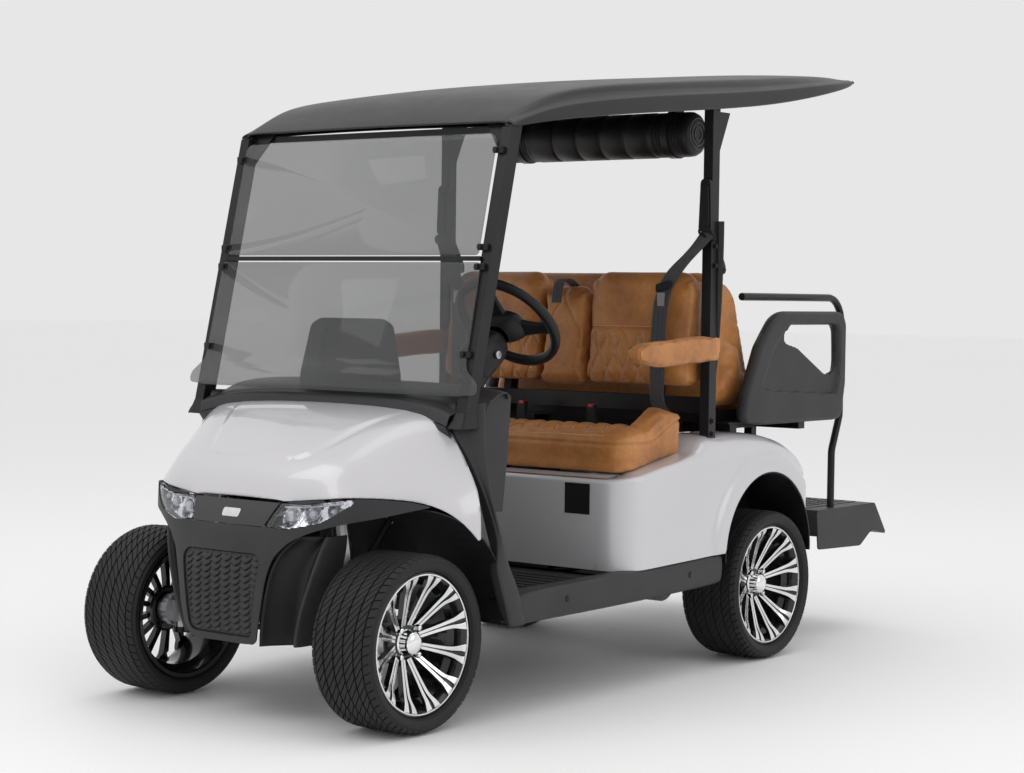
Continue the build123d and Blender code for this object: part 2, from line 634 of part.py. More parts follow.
REAR_BACK_Y = REAR - 145.0
ARM_IN_X, ARM_OUT_X = 500.0, 540.0
PLATE_TOP_Z = DECK_Z + 18.0
FLIP_HINGE_X = 300.0


def rear_seat():
    back_side = [(REAR_BACK_Y, 800, 20), (REAR + 70, 800, 30), (REAR + 76, 900, 60), (REAR - 48, 1256, 34),
                 (REAR_BACK_Y, 1258, 34)]
    back = side_slab(back_side, -460, 460)
    low_z = PLATE_TOP_Z + REST
    cushion_side = [(REAR + 80, low_z, 16), (REAR + 536, low_z, 20), (REAR + 540, 880, 40), (REAR + 80, 872, 30)]
    return back, side_slab(cushion_side, -455, 455)


def flip_deck_and_deck():
    """The board that flips rearward with the rear cushion, and the deck it hinges on."""
    plate = block((-455, 455), (REAR + 80, DECK_REAR_Y - 14), (DECK_Z + REST, PLATE_TOP_Z))
    deck = block((-ARM_IN_X, ARM_IN_X), (REAR - 140, DECK_REAR_Y - 12), (DECK_Z - 6, DECK_Z))
    deck += block((-440, 440), (REAR - 125, REAR + 60), (DECK_Z, 800 - REST))
    deck += both_sides(block((280, 320), (REAR - 140, DECK_REAR_Y - 12), (DECK_Z - 40, DECK_Z - 6)))
    for y in (REAR - 100, REAR + 330):
        deck += block((-480, 480), (y, y + 40), (DECK_Z - 40, DECK_Z - 6))
    deck += both_sides(block((285, 315), (REAR + 300, REAR + 330), (RAIL_REAR_Z, DECK_Z - 6)))
    x, y, z = FLIP_HINGE_X, DECK_REAR_Y, DECK_Z
    leaf = block((x - 22, x + 22), (y - 40, y), (z + REST, z + BARREL_R))
    barrel, pin = hinge(x, y, z, leaf)
    for side in (-1, 1):
        inner, outer = sorted((x + side * 26, x + side * 34))
        pin += block((inner, outer), (y - 16, y), (z - BARREL_R, z))
    return plate + both_sides(barrel), (deck + both_sides(pin)) - rear_form()


def rear_side_arms():
    frame = [(REAR - 132, 745, 10), (REAR + 541, 745, 20), (REAR + 548, 860), (REAR + 538, 1122, 34),
             (REAR + 20, 1104, 60), (REAR - 104, 840)]
    hole = [(REAR + 68, 1012, 14), (REAR + 70, 1056, 20), (REAR + 468, 1082, 40), (REAR + 446, 918, 20)]
    arch_cut = [(REAR + 170, 700), (REAR + 200, 768, 60), (REAR + 420, 772, 60), (REAR + 480, 700)]
    arm = side_slab(frame, ARM_IN_X, ARM_OUT_X) - side_slab(hole, 400, 600) - side_slab(arch_cut, 400, 600)
    return both_sides(arm)


GRAB_R = 13.0


def grab_rails():
    path = [(480, REAR + 556, FOOTREST_Z), (480, REAR + 556, 640), (480, REAR + 606, 760),
            (480, REAR + 606, 1167), (480, REAR - 44, 1167)]
    return both_sides(pipe(path, GRAB_R, [60, 60, 90]))


TREAD_HALF = 455.0


def footrest():
    side = [(REAR + 395, FOOTREST_Z, 14), (REAR + 800, FOOTREST_Z, 16), (TAIL_Y, 330, 6),
            (REAR + 780, 352, 60), (REAR + 700, 303, 40), (REAR + 410, 312, 12)]
    outer = side_slab(side, -520, 520)
    inner = side_slab(side, -515, 515, 5) + block((-515, 515), (REAR + 405, REAR + 790), (280, 380))
    tray = outer - (inner & side_slab([(REAR + 400, FOOTREST_Z - 5), (REAR + 790, FOOTREST_Z - 5),
                                       (TAIL_Y - 22, 320), (TAIL_Y - 20, 280), (REAR + 400, 280)], -515, 515))
    bars = both_sides(block((RAIL_X - RAIL_HALF, RAIL_X + RAIL_HALF), (RAIL_REAR_Y, REAR + 770),
                            (RAIL_REAR_Z - 45, RAIL_REAR_Z)))
    tread = block((-TREAD_HALF, TREAD_HALF), (REAR + 425, REAR + 780), (FOOTREST_Z, FOOTREST_Z + 2))
    return tray + bars + tread


# ---------------------------------------------------------------- belts and soundbar
BELT_IN_X, BELT_OUT_X, BELT_THICK = 384.0, 424.0, 3.0


def seat_belts():
    """Each side's height adjuster on its post, and the webbing that hangs from it to the seat's bar."""
    shell = side_slab([(STRUT_Y - 38, 1370), (STRUT_Y - 20, 1362), (STRUT_Y - 20, 1530), (STRUT_Y - 30, 1530),
                       (STRUT_Y - 46, 1400)], STRUT_X - 18, STRUT_X + 18)
    hang_y = STRUT_Y - 44
    over = front_slab([(STRUT_X - 18, 1395), (STRUT_X + 18, 1395), (BELT_OUT_X, 1262), (BELT_IN_X, 1262)],
                      hang_y, hang_y + BELT_THICK)
    hip_y = REAR - 385
    down = side_slab([(hang_y, 1270), (hang_y + BELT_THICK, 1270), (hip_y + BELT_THICK, 862),
                      (SEAT_BAR_Y, 848), (SEAT_BAR_Y, 844), (hip_y, 858)], BELT_IN_X, BELT_OUT_X)
    return both_sides(shell + over + down)


def belt_buckles():
    buckles = Part()
    for x in (-140, 140):
        buckles += block((x - 14, x + 14), (REAR - 396, REAR - 380), (735, 815))
        buckles += block((x - 6, x + 6), (REAR - 394, REAR - 340), (720, 745))
    return buckles - rear_form()


SOUND_Y, SOUND_Z, SOUND_R, SOUND_HALF = REAR - 170.0, 1684.0, 72.0, 385.0


def soundbar():
    body = across(SOUND_R, SOUND_Y, SOUND_Z, -SOUND_HALF, SOUND_HALF)
    for x in (-SOUND_HALF, -120, 120, SOUND_HALF - 40):
        body += across(SOUND_R + 4, SOUND_Y, SOUND_Z, x, x + 40)
    hangers = both_sides(block((230, 270), (STRUT_Y + CROSSBAR / 2, SOUND_Y), (1752, 1760))
                         + block((230, 270), (SOUND_Y - 20, SOUND_Y + 20), (SOUND_Z + SOUND_R - 4, 1760)))
    return body + hangers


# ---------------------------------------------------------------- frame and drive
FRONT_RAIL_X, FRONT_RAIL_HALF = 105.0, 20.0


def chassis():
    rear_low_z = RAIL_REAR_Z - 50
    rail = side_slab([(300, 265), (REAR - 480, 265), (REAR - 330, rear_low_z), (RAIL_REAR_Y, rear_low_z),
                      (RAIL_REAR_Y, RAIL_REAR_Z), (REAR - 350, RAIL_REAR_Z), (REAR - 500, RAIL_TOP_Z),
                      (300, RAIL_TOP_Z)], RAIL_X - RAIL_HALF, RAIL_X + RAIL_HALF)
    nose_side = [(-160, 345), (190, 345), (290, 265), (345, 265), (345, RAIL_TOP_Z), (310, RAIL_TOP_Z),
                 (215, 400), (-160, 400)]
    nose_rail = side_slab(nose_side, FRONT_RAIL_X - FRONT_RAIL_HALF, FRONT_RAIL_X + FRONT_RAIL_HALF)
    frame = both_sides(rail + nose_rail)
    frame += block((-RAIL_X, RAIL_X), (300, 345), (265, RAIL_TOP_Z))
    for y in (BODY_FRONT_Y + 40, REAR - 540):
        frame += block((-RAIL_X, RAIL_X), (y, y + 40), (268, RAIL_TOP_Z))
    frame += block((-RAIL_X, RAIL_X), (RAIL_REAR_Y - 40, RAIL_REAR_Y), (rear_low_z, RAIL_REAR_Z))
    frame += block((-FRONT_RAIL_X, FRONT_RAIL_X), (-160, -120), (345, 400))
    outrigger = block((RAIL_X, SILL_IN_X), (400, 440), (270, RAIL_TOP_Z - 4))
    outrigger += block((RAIL_X, SILL_IN_X), (BODY_FRONT_Y + 60, BODY_FRONT_Y + 100), (274, RAIL_TOP_Z - 4))
    inner_x = FRONT_RAIL_X + FRONT_RAIL_HALF
    tower = block((inner_x - 8, inner_x), (-35, 35), (398, TOWER_Z))
    tower += block((inner_x - 8, 250), (-35, 35), (TOWER_Z - 8, TOWER_Z))
    for y_in in LOWER_ARM_Y:
        tower += block((ARM_PIVOT_X - 9, ARM_PIVOT_X + 9), (y_in - 10, y_in + 10), (205, 346))
    tower += block((ARM_PIVOT_X - 9, ARM_PIVOT_X + 9), (UPPER_LINK_Y - 10, UPPER_LINK_Y + 10),
                   (314, 346))
    return frame + both_sides(outrigger + tower)


def battery_pack():
    return block((-255, 255), (BODY_FRONT_Y + 60, REAR - 510), (RAIL_TOP_Z, 580))


KINGPIN_X, KINGPIN_R = 390.0, 12.0
PIN_LOW_Z, PIN_HIGH_Z = 176.0, 318.0
SPINDLE_R = 15.0
HUB_X = 23.0         # the wheel's mounting face, outside its middle
STEER_ARM = 105.0
STEER_ARM_Z = 285.0
TIE_Z, TIE_R, BALL_R = 262.0, 9.0, 8.0
ARM_PIVOT_X = 105.0
LOWER_ARM_Y = (-48.0, 52.0)
UPPER_LINK_Y = 95.0
SHOCK_LOW = (282.0, 0.0, 212.0)
SHOCK_HIGH = (216.0, 0.0, 605.0)
TOWER_Z = 604.0


def front_suspension():
    """Lower arms and rear-set upper links, with the pins that the knuckles turn on."""
    arms = upright(KINGPIN_R, KINGPIN_X, 0, PIN_LOW_Z, PIN_HIGH_Z)
    arms += upright(20, KINGPIN_X, 0, PIN_LOW_Z, PIN_LOW_Z + 16)
    arms += upright(20, KINGPIN_X, 0, PIN_HIGH_Z - 14, PIN_HIGH_Z)
    for y_in in LOWER_ARM_Y:
        arms += rod((KINGPIN_X - 8, 0, PIN_LOW_Z + 6), (ARM_PIVOT_X, y_in, 215), 8)
    arms += rod((KINGPIN_X - 8, 0, PIN_HIGH_Z - 7), (ARM_PIVOT_X, UPPER_LINK_Y, 322), 7)
    arms += block((262, 300), (-24, 24), (SHOCK_LOW[2] - 14, SHOCK_LOW[2]))
    return both_sides(arms) - nodes["frame"]


def coil_overs():
    low, high = Vector(*SHOCK_LOW), Vector(*SHOCK_HIGH)
    along = high - low
    unit = rod(SHOCK_LOW, SHOCK_HIGH, 11)
    unit += rod(tuple(low + along * 0.28), tuple(low + along * 0.86), 27)
    unit += rod(tuple(low + along * 0.25), tuple(low + along * 0.28), 31)
    unit += rod(tuple(low + along * 0.86), tuple(low + along * 0.89), 31)
    unit -= block((0, 400), (-100, 100), (0, SHOCK_LOW[2]))
    unit -= block((0, 400), (-100, 100), (TOWER_Z - 8, 800))
    return both_sides(unit)


def steering_column():
    shaft = rod(column_point(-60), COLUMN_FOOT, COLUMN_R)
    shaft += rod(column_point(-60), column_point(12), 9)
    lower = rod(COLUMN_FOOT, GEAR_POINT, 10)
    gear = block((FRONT_RAIL_X + FRONT_RAIL_HALF, 190), (135, 188), (352, 396))
    pod = rod(column_point(-250), column_point(-120), 38)
    return shaft + lower + gear + pod


def pedals():
    parts = Part()
    for x_low, x_high in ((150, 215), (335, 400)):
        pad = side_slab([(300, 405), (330, FLOOR_Z + 12), (340, FLOOR_Z + 14), (312, 470), (302, 470)],
                        x_low, x_high)
        parts += pad
        parts += block((x_low + 20, x_low + 40), (318, 345), (FLOOR_Z, FLOOR_Z + 30))
    return parts - nodes["floor_pan"] - column_sleeve(3)


def rear_drive():
    axle = across(34, REAR, AXLE_Z, -430, 430)
    spindle = across(SPINDLE_R, REAR, AXLE_Z, -REAR_TRACK_HALF - 18, REAR_TRACK_HALF + 18)
    drums = both_sides(across(92, REAR, AXLE_Z, 428, REAR_TRACK_HALF - 8))
    case = across(98, REAR, AXLE_Z, -60, 30) + block((-60, 30), (REAR - 190, REAR), (AXLE_Z - 60, AXLE_Z + 60))
    motor = across(82, REAR - 130, AXLE_Z + 10, 30, 250)
    pads = both_sides(block((275, 325), (REAR - 50, REAR + 50), (AXLE_Z + 20, AXLE_Z + 41)))
    return axle + spindle + drums + case + motor + pads


def rear_springs():
    seat = AXLE_Z + 41
    leaf = [(REAR - 440, 330), (REAR - 60, seat), (REAR + 60, seat), (REAR + 350, 330), (REAR + 350, 344),
            (REAR + 60, seat + 22), (REAR - 60, seat + 22), (REAR - 440, 344)]
    pack = side_slab(leaf, 276, 324)
    pack += across(16, REAR + 350, 337, 276, 324)
    pack += block((284, 316), (REAR + 340, REAR + 360), (337, RAIL_REAR_Z - 50))
    front_eye = across(16, REAR - 440, 337, 276, 324)
    return both_sides(pack + front_eye) - nodes["frame"]


# ---------------------------------------------------------------- wheels
FLANGE_R = 191.0
BEAD_R = 178.0
FACE_X = 88.0
HUB_R = 66.0
SPOKES = 12
WHEEL_SIDES, HUB_SIDES = 48, 24
LUG_PCD, LUG_COUNT, LUG_R = 101.6, 4, 9.5
CAP_R, CAP_X = 30.0, 64.0
SPOKE_START, SPOKE_END = 46.0, 184.0
# Columns: radius, half width of a spoke.
SPOKE_PLAN = ((SPOKE_START, 7.0), (150, 10.0), (SPOKE_END, 22.0))
SLOT_PLAN = ((84, 1.2), (150, 3.0), (172, 5.0))
# Columns: depth outside the wheel's middle, radius.
SPOKE_SIDE = ((HUB_X + 4, SPOKE_START), (70, 150), (FACE_X - 3, 177), (FACE_X - 3, SPOKE_END),
              (70, SPOKE_END), (48, 150), (8, SPOKE_START))


def wedge(plan, depth_from, depth_to):
    """A plan of (radius, half width) rows, cut right through along the axle."""
    edge = list(plan) + [(radius, -half) for radius, half in reversed(plan)]
    upright_plane = Plane(origin=(depth_from, 0, 0), x_dir=(0, 0, 1), z_dir=(1, 0, 0))
    return extrude(upright_plane * outline(edge), depth_to - depth_from, dir=(1, 0, 0))


def spoke():
    """One double spoke of the star: its plan crossed with its side view."""
    side = extrude(FRONT_VIEW.offset(CUT) * outline(SPOKE_SIDE), 2 * CUT, dir=(0, 1, 0))
    return side & (wedge(SPOKE_PLAN, 0, FACE_X) - wedge(SLOT_PLAN, 0, FACE_X))


def rim():
    outer = [(-92, FLANGE_R), (-81, FLANGE_R), (-76, BEAD_R), (-48, 163), (34, 163), (76, BEAD_R),
             (81, FLANGE_R), (FACE_X, FLANGE_R)]
    inner = [(-93, 178), (-50, 157), (30, 157), (66, 171), (FACE_X + 1, 183)]
    barrel = drum(outer, WHEEL_SIDES) - drum(inner, WHEEL_SIDES)
    star = Part() + [Rot(360.0 * (i + 0.5) / SPOKES, 0, 0) * spoke() for i in range(SPOKES)]
    star &= drum([(-1, 170), (66, 171), (FACE_X, 183)], WHEEL_SIDES)
    hub = drum([(0, HUB_R), (HUB_X, HUB_R)], HUB_SIDES) + drum([(HUB_X, CAP_R), (CAP_X, CAP_R - 4)], HUB_SIDES)
    hub -= bore_across(SPINDLE_R + RUN, 0, 0, -1, HUB_X)
    lugs = []
    for i in range(LUG_COUNT):
        nut = Plane(origin=(HUB_X, 0, 0), z_dir=(1, 0, 0)) * Pos(0, LUG_PCD / 2) * RegularPolygon(LUG_R, 6)
        lugs.append(Rot(45 + 360.0 * i / LUG_COUNT, 0, 0) * extrude(nut, 22, dir=(1, 0, 0)))
    return barrel + star + hub + lugs


def tyre():
    half = TYRE_W / 2
    body = drum([(-half, TYRE_R - 16), (14 - half, TYRE_R), (half - 14, TYRE_R), (half, TYRE_R - 16)], WHEEL_SIDES)
    bead_x = half - 26.5
    mouth = drum([(bead_x - 20, BEAD_R), (bead_x, BEAD_R), (bead_x + 5, FLANGE_R), (half + 1, TYRE_R - 20)],
                 WHEEL_SIDES)
    cavity = drum([(20 - bead_x, TYRE_R - 16), (bead_x - 20, TYRE_R - 16)], WHEEL_SIDES)
    return body - both_sides(mouth) - cavity


def knuckle():
    spindle = rod((KINGPIN_X, 0, AXLE_Z), (FRONT_TRACK_HALF + 18, 0, AXLE_Z), SPINDLE_R)
    flange = rod((KINGPIN_X + 14, 0, AXLE_Z), (FRONT_TRACK_HALF - 4, 0, AXLE_Z), 46)
    post = upright(20, KINGPIN_X, 0, PIN_LOW_Z + 16.3, PIN_HIGH_Z - 14.3)
    post += block((KINGPIN_X - 15, KINGPIN_X + 20), (-22, 22), (AXLE_Z - 30, AXLE_Z + 30))
    arm = block((KINGPIN_X - 12, KINGPIN_X + 12), (15, STEER_ARM), (STEER_ARM_Z - 8, STEER_ARM_Z + 8))
    arm += upright(15, KINGPIN_X, STEER_ARM, STEER_ARM_Z - 8, STEER_ARM_Z + 8)
    body = spindle + flange + post + arm
    body -= bore(KINGPIN_R + RUN, KINGPIN_X, 0, 0, 500)
    return body - bore(BALL_R + RUN, KINGPIN_X, STEER_ARM, 200, 400)


def tie_rod():
    bar = rod((-KINGPIN_X, STEER_ARM, TIE_Z), (KINGPIN_X, STEER_ARM, TIE_Z), TIE_R)
    for x, pin in ((KINGPIN_X, BALL_R), (-KINGPIN_X, BALL_R - 2)):
        bar += upright(13, x, STEER_ARM, TIE_Z - 12, TIE_Z + 14)
        bar += upright(pin, x, STEER_ARM, TIE_Z, STEER_ARM_Z + 12)
    return bar


RING_R, GRIP_R = 163.0, 11.0


def steering_wheel():
    flat = 0.4 * GRIP_R
    outer = [(-GRIP_R, RING_R + flat), (-flat, RING_R + GRIP_R), (flat, RING_R + GRIP_R), (GRIP_R, RING_R + flat)]
    inner = [(-GRIP_R - 1, RING_R - flat + 1), (-flat, RING_R - GRIP_R), (flat, RING_R - GRIP_R),
             (GRIP_R + 1, RING_R - flat + 1)]
    ring = Rot(0, -90, 0) * (drum(outer, WHEEL_SIDES) - drum(inner, WHEEL_SIDES))
    spokes = Part()
    for angle in (0, 180, 270):
        spokes += Rot(0, 0, angle) * block((20, RING_R), (-17, 17), (-12, -2))
    hub = Pos(0, 0, -18) * Cylinder(44, 44) + Pos(0, 0, 6) * Cylinder(36, 8)
    whole = ring + spokes + hub
    whole -= Pos(0, 0, -26) * Cylinder(9 + RUN, 76)
    return Pos(COLUMN_X, WHEEL_Y, WHEEL_Z) * Rot(-COLUMN_TILT, 0, 0) * whole


# ---------------------------------------------------------------- the whole cart
def build_all():
    save("front_cowl", hood())
    front_end()
    save("side_sills", sills())
    save("floor_pan", floor())
    save("rear_body", rear_body())
    save("charge_port", charge_port())
    save("wheel_liners", *liners())
    save("roof", crowned_loft(ROOF_STATIONS) - roof_hollow())
    save("front_struts", front_struts())
    save("rear_struts", rear_struts())
    save("dashboard", dashboard())
    save("display_housing", display())
    panes, bar = windshield()
    save("windshield", *panes)
    save("windshield_bar", bar, windshield_clips_pair())
    save("soundbar", soundbar())
    save("seat_back", *seat_back())
    save("armrests", armrests())
    save("seat_frame", seat_frame())
    save("seat_belts", seat_belts())
    save("belt_buckles", belt_buckles())
    plate, deck = flip_deck_and_deck()
    save("rear_deck", deck)
    save("flip_deck", plate)
    save("rear_side_arms", rear_side_arms())
    save("grab_rails", grab_rails())
    save("footrest", footrest())
    save("frame", chassis())
    save("battery_pack", battery_pack())
    save("front_suspension", front_suspension())
    save("coil_overs", coil_overs())
    save("steering_column", steering_column())
    save("pedals", pedals())
    save("rear_axle", rear_drive())
    save("rear_springs", rear_springs())
    save("seat_cushion", seat_cushion())
    rear_back, rear_cushion = rear_seat()
    save("rear_seat_back", rear_back)
    save("rear_seat_cushion", rear_cushion)
    leaves, lugs = seat_hinges()
    save("seat_hinge_leaves", leaves)
    save("seat_hinge_lugs", lugs)
    save("steering_wheel", steering_wheel())
    left_knuckle = knuckle()
    save("knuckle_left", left_knuckle)
    save("knuckle_right", mirror(left_knuckle, about=Plane.YZ))
    save("tie_rod", tie_rod())
    one_rim, one_tyre = rim(), tyre()
    corners = (("front", FRONT_TRACK_HALF, 0.0), ("rear", REAR_TRACK_HALF, REAR))
    for end, x, y in corners:
        for piece, shape in (("rim", one_rim), ("tyre", one_tyre)):
            placed = Pos(x, y, AXLE_Z) * shape
            save(f"{piece}_{end}_left", placed)
            save(f"{piece}_{end}_right", mirror(placed, about=Plane.YZ))


def write_all():
    """Moves the origin under the middle of the whole cart and writes one file per node."""
    middle_y = (NOSE_Y + TAIL_Y) / 2
    os.makedirs("parts", exist_ok=True)
    for name, solids in nodes.items():
        export_step(Pos(0, -middle_y, 0) * Compound(solids), f"parts/{name}.step")


build_all()
write_all()
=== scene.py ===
import math

import bmesh
import bpy
import numpy as np
from mathutils import Matrix, Vector
from mathutils.bvhtree import BVHTree


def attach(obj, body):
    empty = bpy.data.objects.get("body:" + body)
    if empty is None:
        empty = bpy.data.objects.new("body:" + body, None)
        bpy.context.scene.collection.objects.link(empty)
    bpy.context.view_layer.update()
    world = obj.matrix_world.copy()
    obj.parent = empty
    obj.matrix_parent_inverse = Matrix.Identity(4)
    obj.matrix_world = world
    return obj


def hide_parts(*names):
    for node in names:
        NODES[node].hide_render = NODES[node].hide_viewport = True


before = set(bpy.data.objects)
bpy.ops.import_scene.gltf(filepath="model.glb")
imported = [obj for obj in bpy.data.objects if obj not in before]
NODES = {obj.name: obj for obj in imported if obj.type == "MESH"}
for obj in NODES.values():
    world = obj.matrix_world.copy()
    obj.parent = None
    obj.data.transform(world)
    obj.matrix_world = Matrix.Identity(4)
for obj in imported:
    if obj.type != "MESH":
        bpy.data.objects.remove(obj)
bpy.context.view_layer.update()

# Layout millimetres, as in part.py: y from the front axle, z from the ground.
MIDDLE_Y = 1162.0
REAR = 1670.0
MM = 0.001
SHIFT = np.array([0.0, -MIDDLE_Y, 0.0])


def P(x, y, z):
    return Vector((x * MM, (y - MIDDLE_Y) * MM, z * MM))


# ------------------------------------------------------------------ materials
class Tree:
    """Short calls for building one material's nodes."""

    def __init__(self, name):
        self.material = bpy.data.materials.new(name)
        self.material.use_nodes = True
        self.tree = self.material.node_tree
        self.shader = self.tree.nodes["Principled BSDF"]
        self.place = self.add("ShaderNodeTexCoord").outputs["Object"]

    def add(self, kind, **values):
        made = self.tree.nodes.new(kind)
        for key, value in values.items():
            setattr(made, key, value)
        return made

    def link(self, source, target):
        self.tree.links.new(source, target)

    def noise(self, scale, detail=4.0, rough=0.55, stretch=None):
        made = self.add("ShaderNodeTexNoise")
        made.inputs["Scale"].default_value = scale
        made.inputs["Detail"].default_value = detail
        made.inputs["Roughness"].default_value = rough
        self.link(self.scaled(stretch), made.inputs["Vector"])
        return made.outputs["Fac"]

    def scaled(self, stretch):
        if stretch is None:
            return self.place
        made = self.add("ShaderNodeMapping")
        made.inputs["Scale"].default_value = stretch
        self.link(self.place, made.inputs["Vector"])
        return made.outputs["Vector"]

    def voronoi(self, scale, feature="F1", output="Distance", stretch=None):
        made = self.add("ShaderNodeTexVoronoi", feature=feature)
        made.inputs["Scale"].default_value = scale
        self.link(self.scaled(stretch), made.inputs["Vector"])
        return made.outputs[output]

    def wave(self, scale, direction="X", distortion=0.0):
        made = self.add("ShaderNodeTexWave", bands_direction=direction)
        made.inputs["Scale"].default_value = scale
        made.inputs["Distortion"].default_value = distortion
        self.link(self.place, made.inputs["Vector"])
        return made.outputs["Fac"]

    def ramp(self, fac, *stops):
        made = self.add("ShaderNodeValToRGB")
        elements = made.color_ramp.elements
        while len(elements) < len(stops):
            elements.new(0.5)
        for element, (at, colour) in zip(elements, stops):
            element.position = at
            element.color = (*colour, 1.0) if len(colour) == 3 else colour
        self.link(fac, made.inputs["Fac"])
        return made.outputs["Color"]

    def maths(self, kind, first, second):
        made = self.add("ShaderNodeMath", operation=kind)
        for slot, value in zip(made.inputs, (first, second)):
            if isinstance(value, (int, float)):
                slot.default_value = value
            else:
                self.link(value, slot)
        return made.outputs[0]

    def blend(self, fac, first, second, kind="MIX"):
        made = self.add("ShaderNodeMix", data_type="RGBA", blend_type=kind)
        for name, value in (("Factor", fac), ("A", first), ("B", second)):
            slot = [s for s in made.inputs if s.name == name and (name == "Factor" and s.type == "VALUE"
                                                                  or name != "Factor" and s.type == "RGBA")][0]
            if isinstance(value, (int, float)):
                slot.default_value = value
            elif isinstance(value, tuple):
                slot.default_value = (*value, 1.0)
            else:
                self.link(value, slot)
        return [s for s in made.outputs if s.type == "RGBA"][0]

    def bump(self, height, strength, distance=0.001, below=None):
        made = self.add("ShaderNodeBump")
        made.inputs["Strength"].default_value = strength
        made.inputs["Distance"].default_value = distance
        self.link(height, made.inputs["Height"])
        if below is not None:
            self.link(below, made.inputs["Normal"])
        return made.outputs["Normal"]

    def set(self, **values):
        names = {"base": "Base Color", "metal": "Metallic", "rough": "Roughness", "coat": "Coat Weight",
                 "coat_rough": "Coat Roughness", "sheen": "Sheen Weight", "alpha": "Alpha",
                 "normal": "Normal",
                 "transmission": "Transmission Weight", "ior": "IOR", "specular": "Specular IOR Level",
                 "emit": "Emission Color", "emit_strength": "Emission Strength",
                 "coat_normal": "Coat Normal", "anisotropic": "Anisotropic"}
        for key, value in values.items():
            slot = self.shader.inputs[names[key]]
            if isinstance(value, (int, float)):
                slot.default_value = value
            elif isinstance(value, tuple):
                slot.default_value = (*value, 1.0)
            else:
                self.link(value, slot)
        return self.material


def plastic(name, dark, light, rough, grain=1400.0, strength=0.25, streak=6.0, coat=0.0, specular=0.3):
    """Moulded plastic or powder coat with a fine grain and slightly uneven gloss."""
    t = Tree(name)
    tone = t.noise(streak, 5.0)
    base = t.ramp(tone, (0.3, dark), (0.7, light))
    gloss = t.maths("MULTIPLY_ADD", t.noise(streak * 4), 0.16)
    gloss.node.inputs[2].default_value = rough - 0.08
    normal = t.bump(t.noise(grain, 2.0), strength, 0.0006)
    return t.set(base=base, rough=gloss, normal=normal, coat=coat, specular=specular)


def pearl_paint():
    t = Tree("pearl_paint")
    flake = t.voronoi(2600.0, output="Color")
    tone = t.ramp(t.noise(1.4, 2.0), (0.3, (0.585, 0.573, 0.592)), (0.75, (0.62, 0.608, 0.627)))
    base = t.blend(0.05, tone, flake, "SOFT_LIGHT")
    ripple = t.bump(t.noise(420.0, 1.0), 0.012, 0.0004)
    return t.set(base=base, metal=0.12, rough=0.36, normal=ripple, coat=1.0, coat_rough=0.03)


def leather():
    """Tan hide: soft cloudy colour, pebble grain, and a painted highlight that makes every convex edge paler."""
    t = Tree("tan_leather")
    cloud = t.noise(7.0, 6.0, 0.6)
    base = t.ramp(cloud, (0.28, (0.27, 0.098, 0.022)), (0.5, (0.44, 0.170, 0.040)),
                  (0.74, (0.58, 0.245, 0.066)))
    # Painted highlight: convex edges, found by pointiness, are blended towards a paler tan.
    edge = t.add("ShaderNodeNewGeometry").outputs["Pointiness"]
    edge_highlight = t.ramp(edge, (0.5, (0.0, 0.0, 0.0)), (0.56, (1.0, 1.0, 1.0)))
    base = t.blend(t.maths("MULTIPLY", edge_highlight, 0.35), base, (0.62, 0.31, 0.115))
    spots = t.noise(60.0, 3.0)
    base = t.blend(0.22, base, t.ramp(spots, (0.35, (0.30, 0.30, 0.30)), (0.7, (0.66, 0.66, 0.66))),
                   "OVERLAY")
    pebble = t.voronoi(620.0, "SMOOTH_F1")
    low = t.bump(pebble, 0.35, 0.0006)
    high = t.bump(t.noise(45.0, 5.0), 0.25, 0.0022, low)
    gloss = t.maths("MULTIPLY_ADD", t.noise(25.0, 3.0), 0.22)
    gloss.node.inputs[2].default_value = 0.34
    return t.set(base=base, rough=gloss, normal=high, sheen=0.08)


def webbing():
    t = Tree("belt_webbing")
    weave = t.wave(420.0, "Z")
    cross = t.wave(300.0, "X")
    both = t.maths("MULTIPLY", weave, cross)
    base = t.ramp(both, (0.0, (0.030, 0.030, 0.033)), (1.0, (0.085, 0.085, 0.090)))
    return t.set(base=base, rough=0.72, normal=t.bump(both, 0.7, 0.0008), sheen=0.2)


def rubber(name, tone, strength=0.4):
    t = Tree(name)
    dust = t.noise(9.0, 5.0)
    base = t.ramp(dust, (0.3, (tone, tone, tone)), (0.8, (tone * 1.9, tone * 1.9, tone * 1.95)))
    normal = t.bump(t.noise(500.0, 3.0), strength, 0.0005)
    return t.set(base=base, rough=0.6, normal=normal, specular=0.35)


def metal(name, colour, rough, brushed=0.0, dark=None):
    t = Tree(name)
    tone = t.noise(30.0, 3.0)
    base = t.ramp(tone, (0.3, dark or tuple(c * 0.86 for c in colour)), (0.7, colour))
    normal = t.bump(t.noise(260.0, 2.0, stretch=(1.0, 0.12, 0.12)), 0.05 + brushed, 0.0003)
    return t.set(base=base, metal=1.0, rough=rough, normal=normal)


def tinted_glass():
    t = Tree("tinted_glass")
    haze = t.ramp(t.noise(3.0, 3.0), (0.2, (0.088, 0.090, 0.092)), (0.8, (0.098, 0.100, 0.102)))
    return t.set(base=haze, rough=0.06, alpha=0.50, specular=0.35, coat=0.15, coat_rough=0.02)


def clear_lens():
    t = Tree("clear_lens")
    ribs = t.bump(t.noise(20.0, 1.0), 0.03, 0.0005)
    return t.set(base=(0.97, 0.98, 1.0), rough=0.02, transmission=1.0, ior=1.35, normal=ribs)


def frosted_lens():
    t = Tree("frosted_lens")
    base = t.ramp(t.noise(40.0, 2.0), (0.3, (0.80, 0.82, 0.86)), (0.7, (0.90, 0.91, 0.94)))
    return t.set(base=base, rough=0.18, transmission=0.35, ior=1.4, coat=0.6)


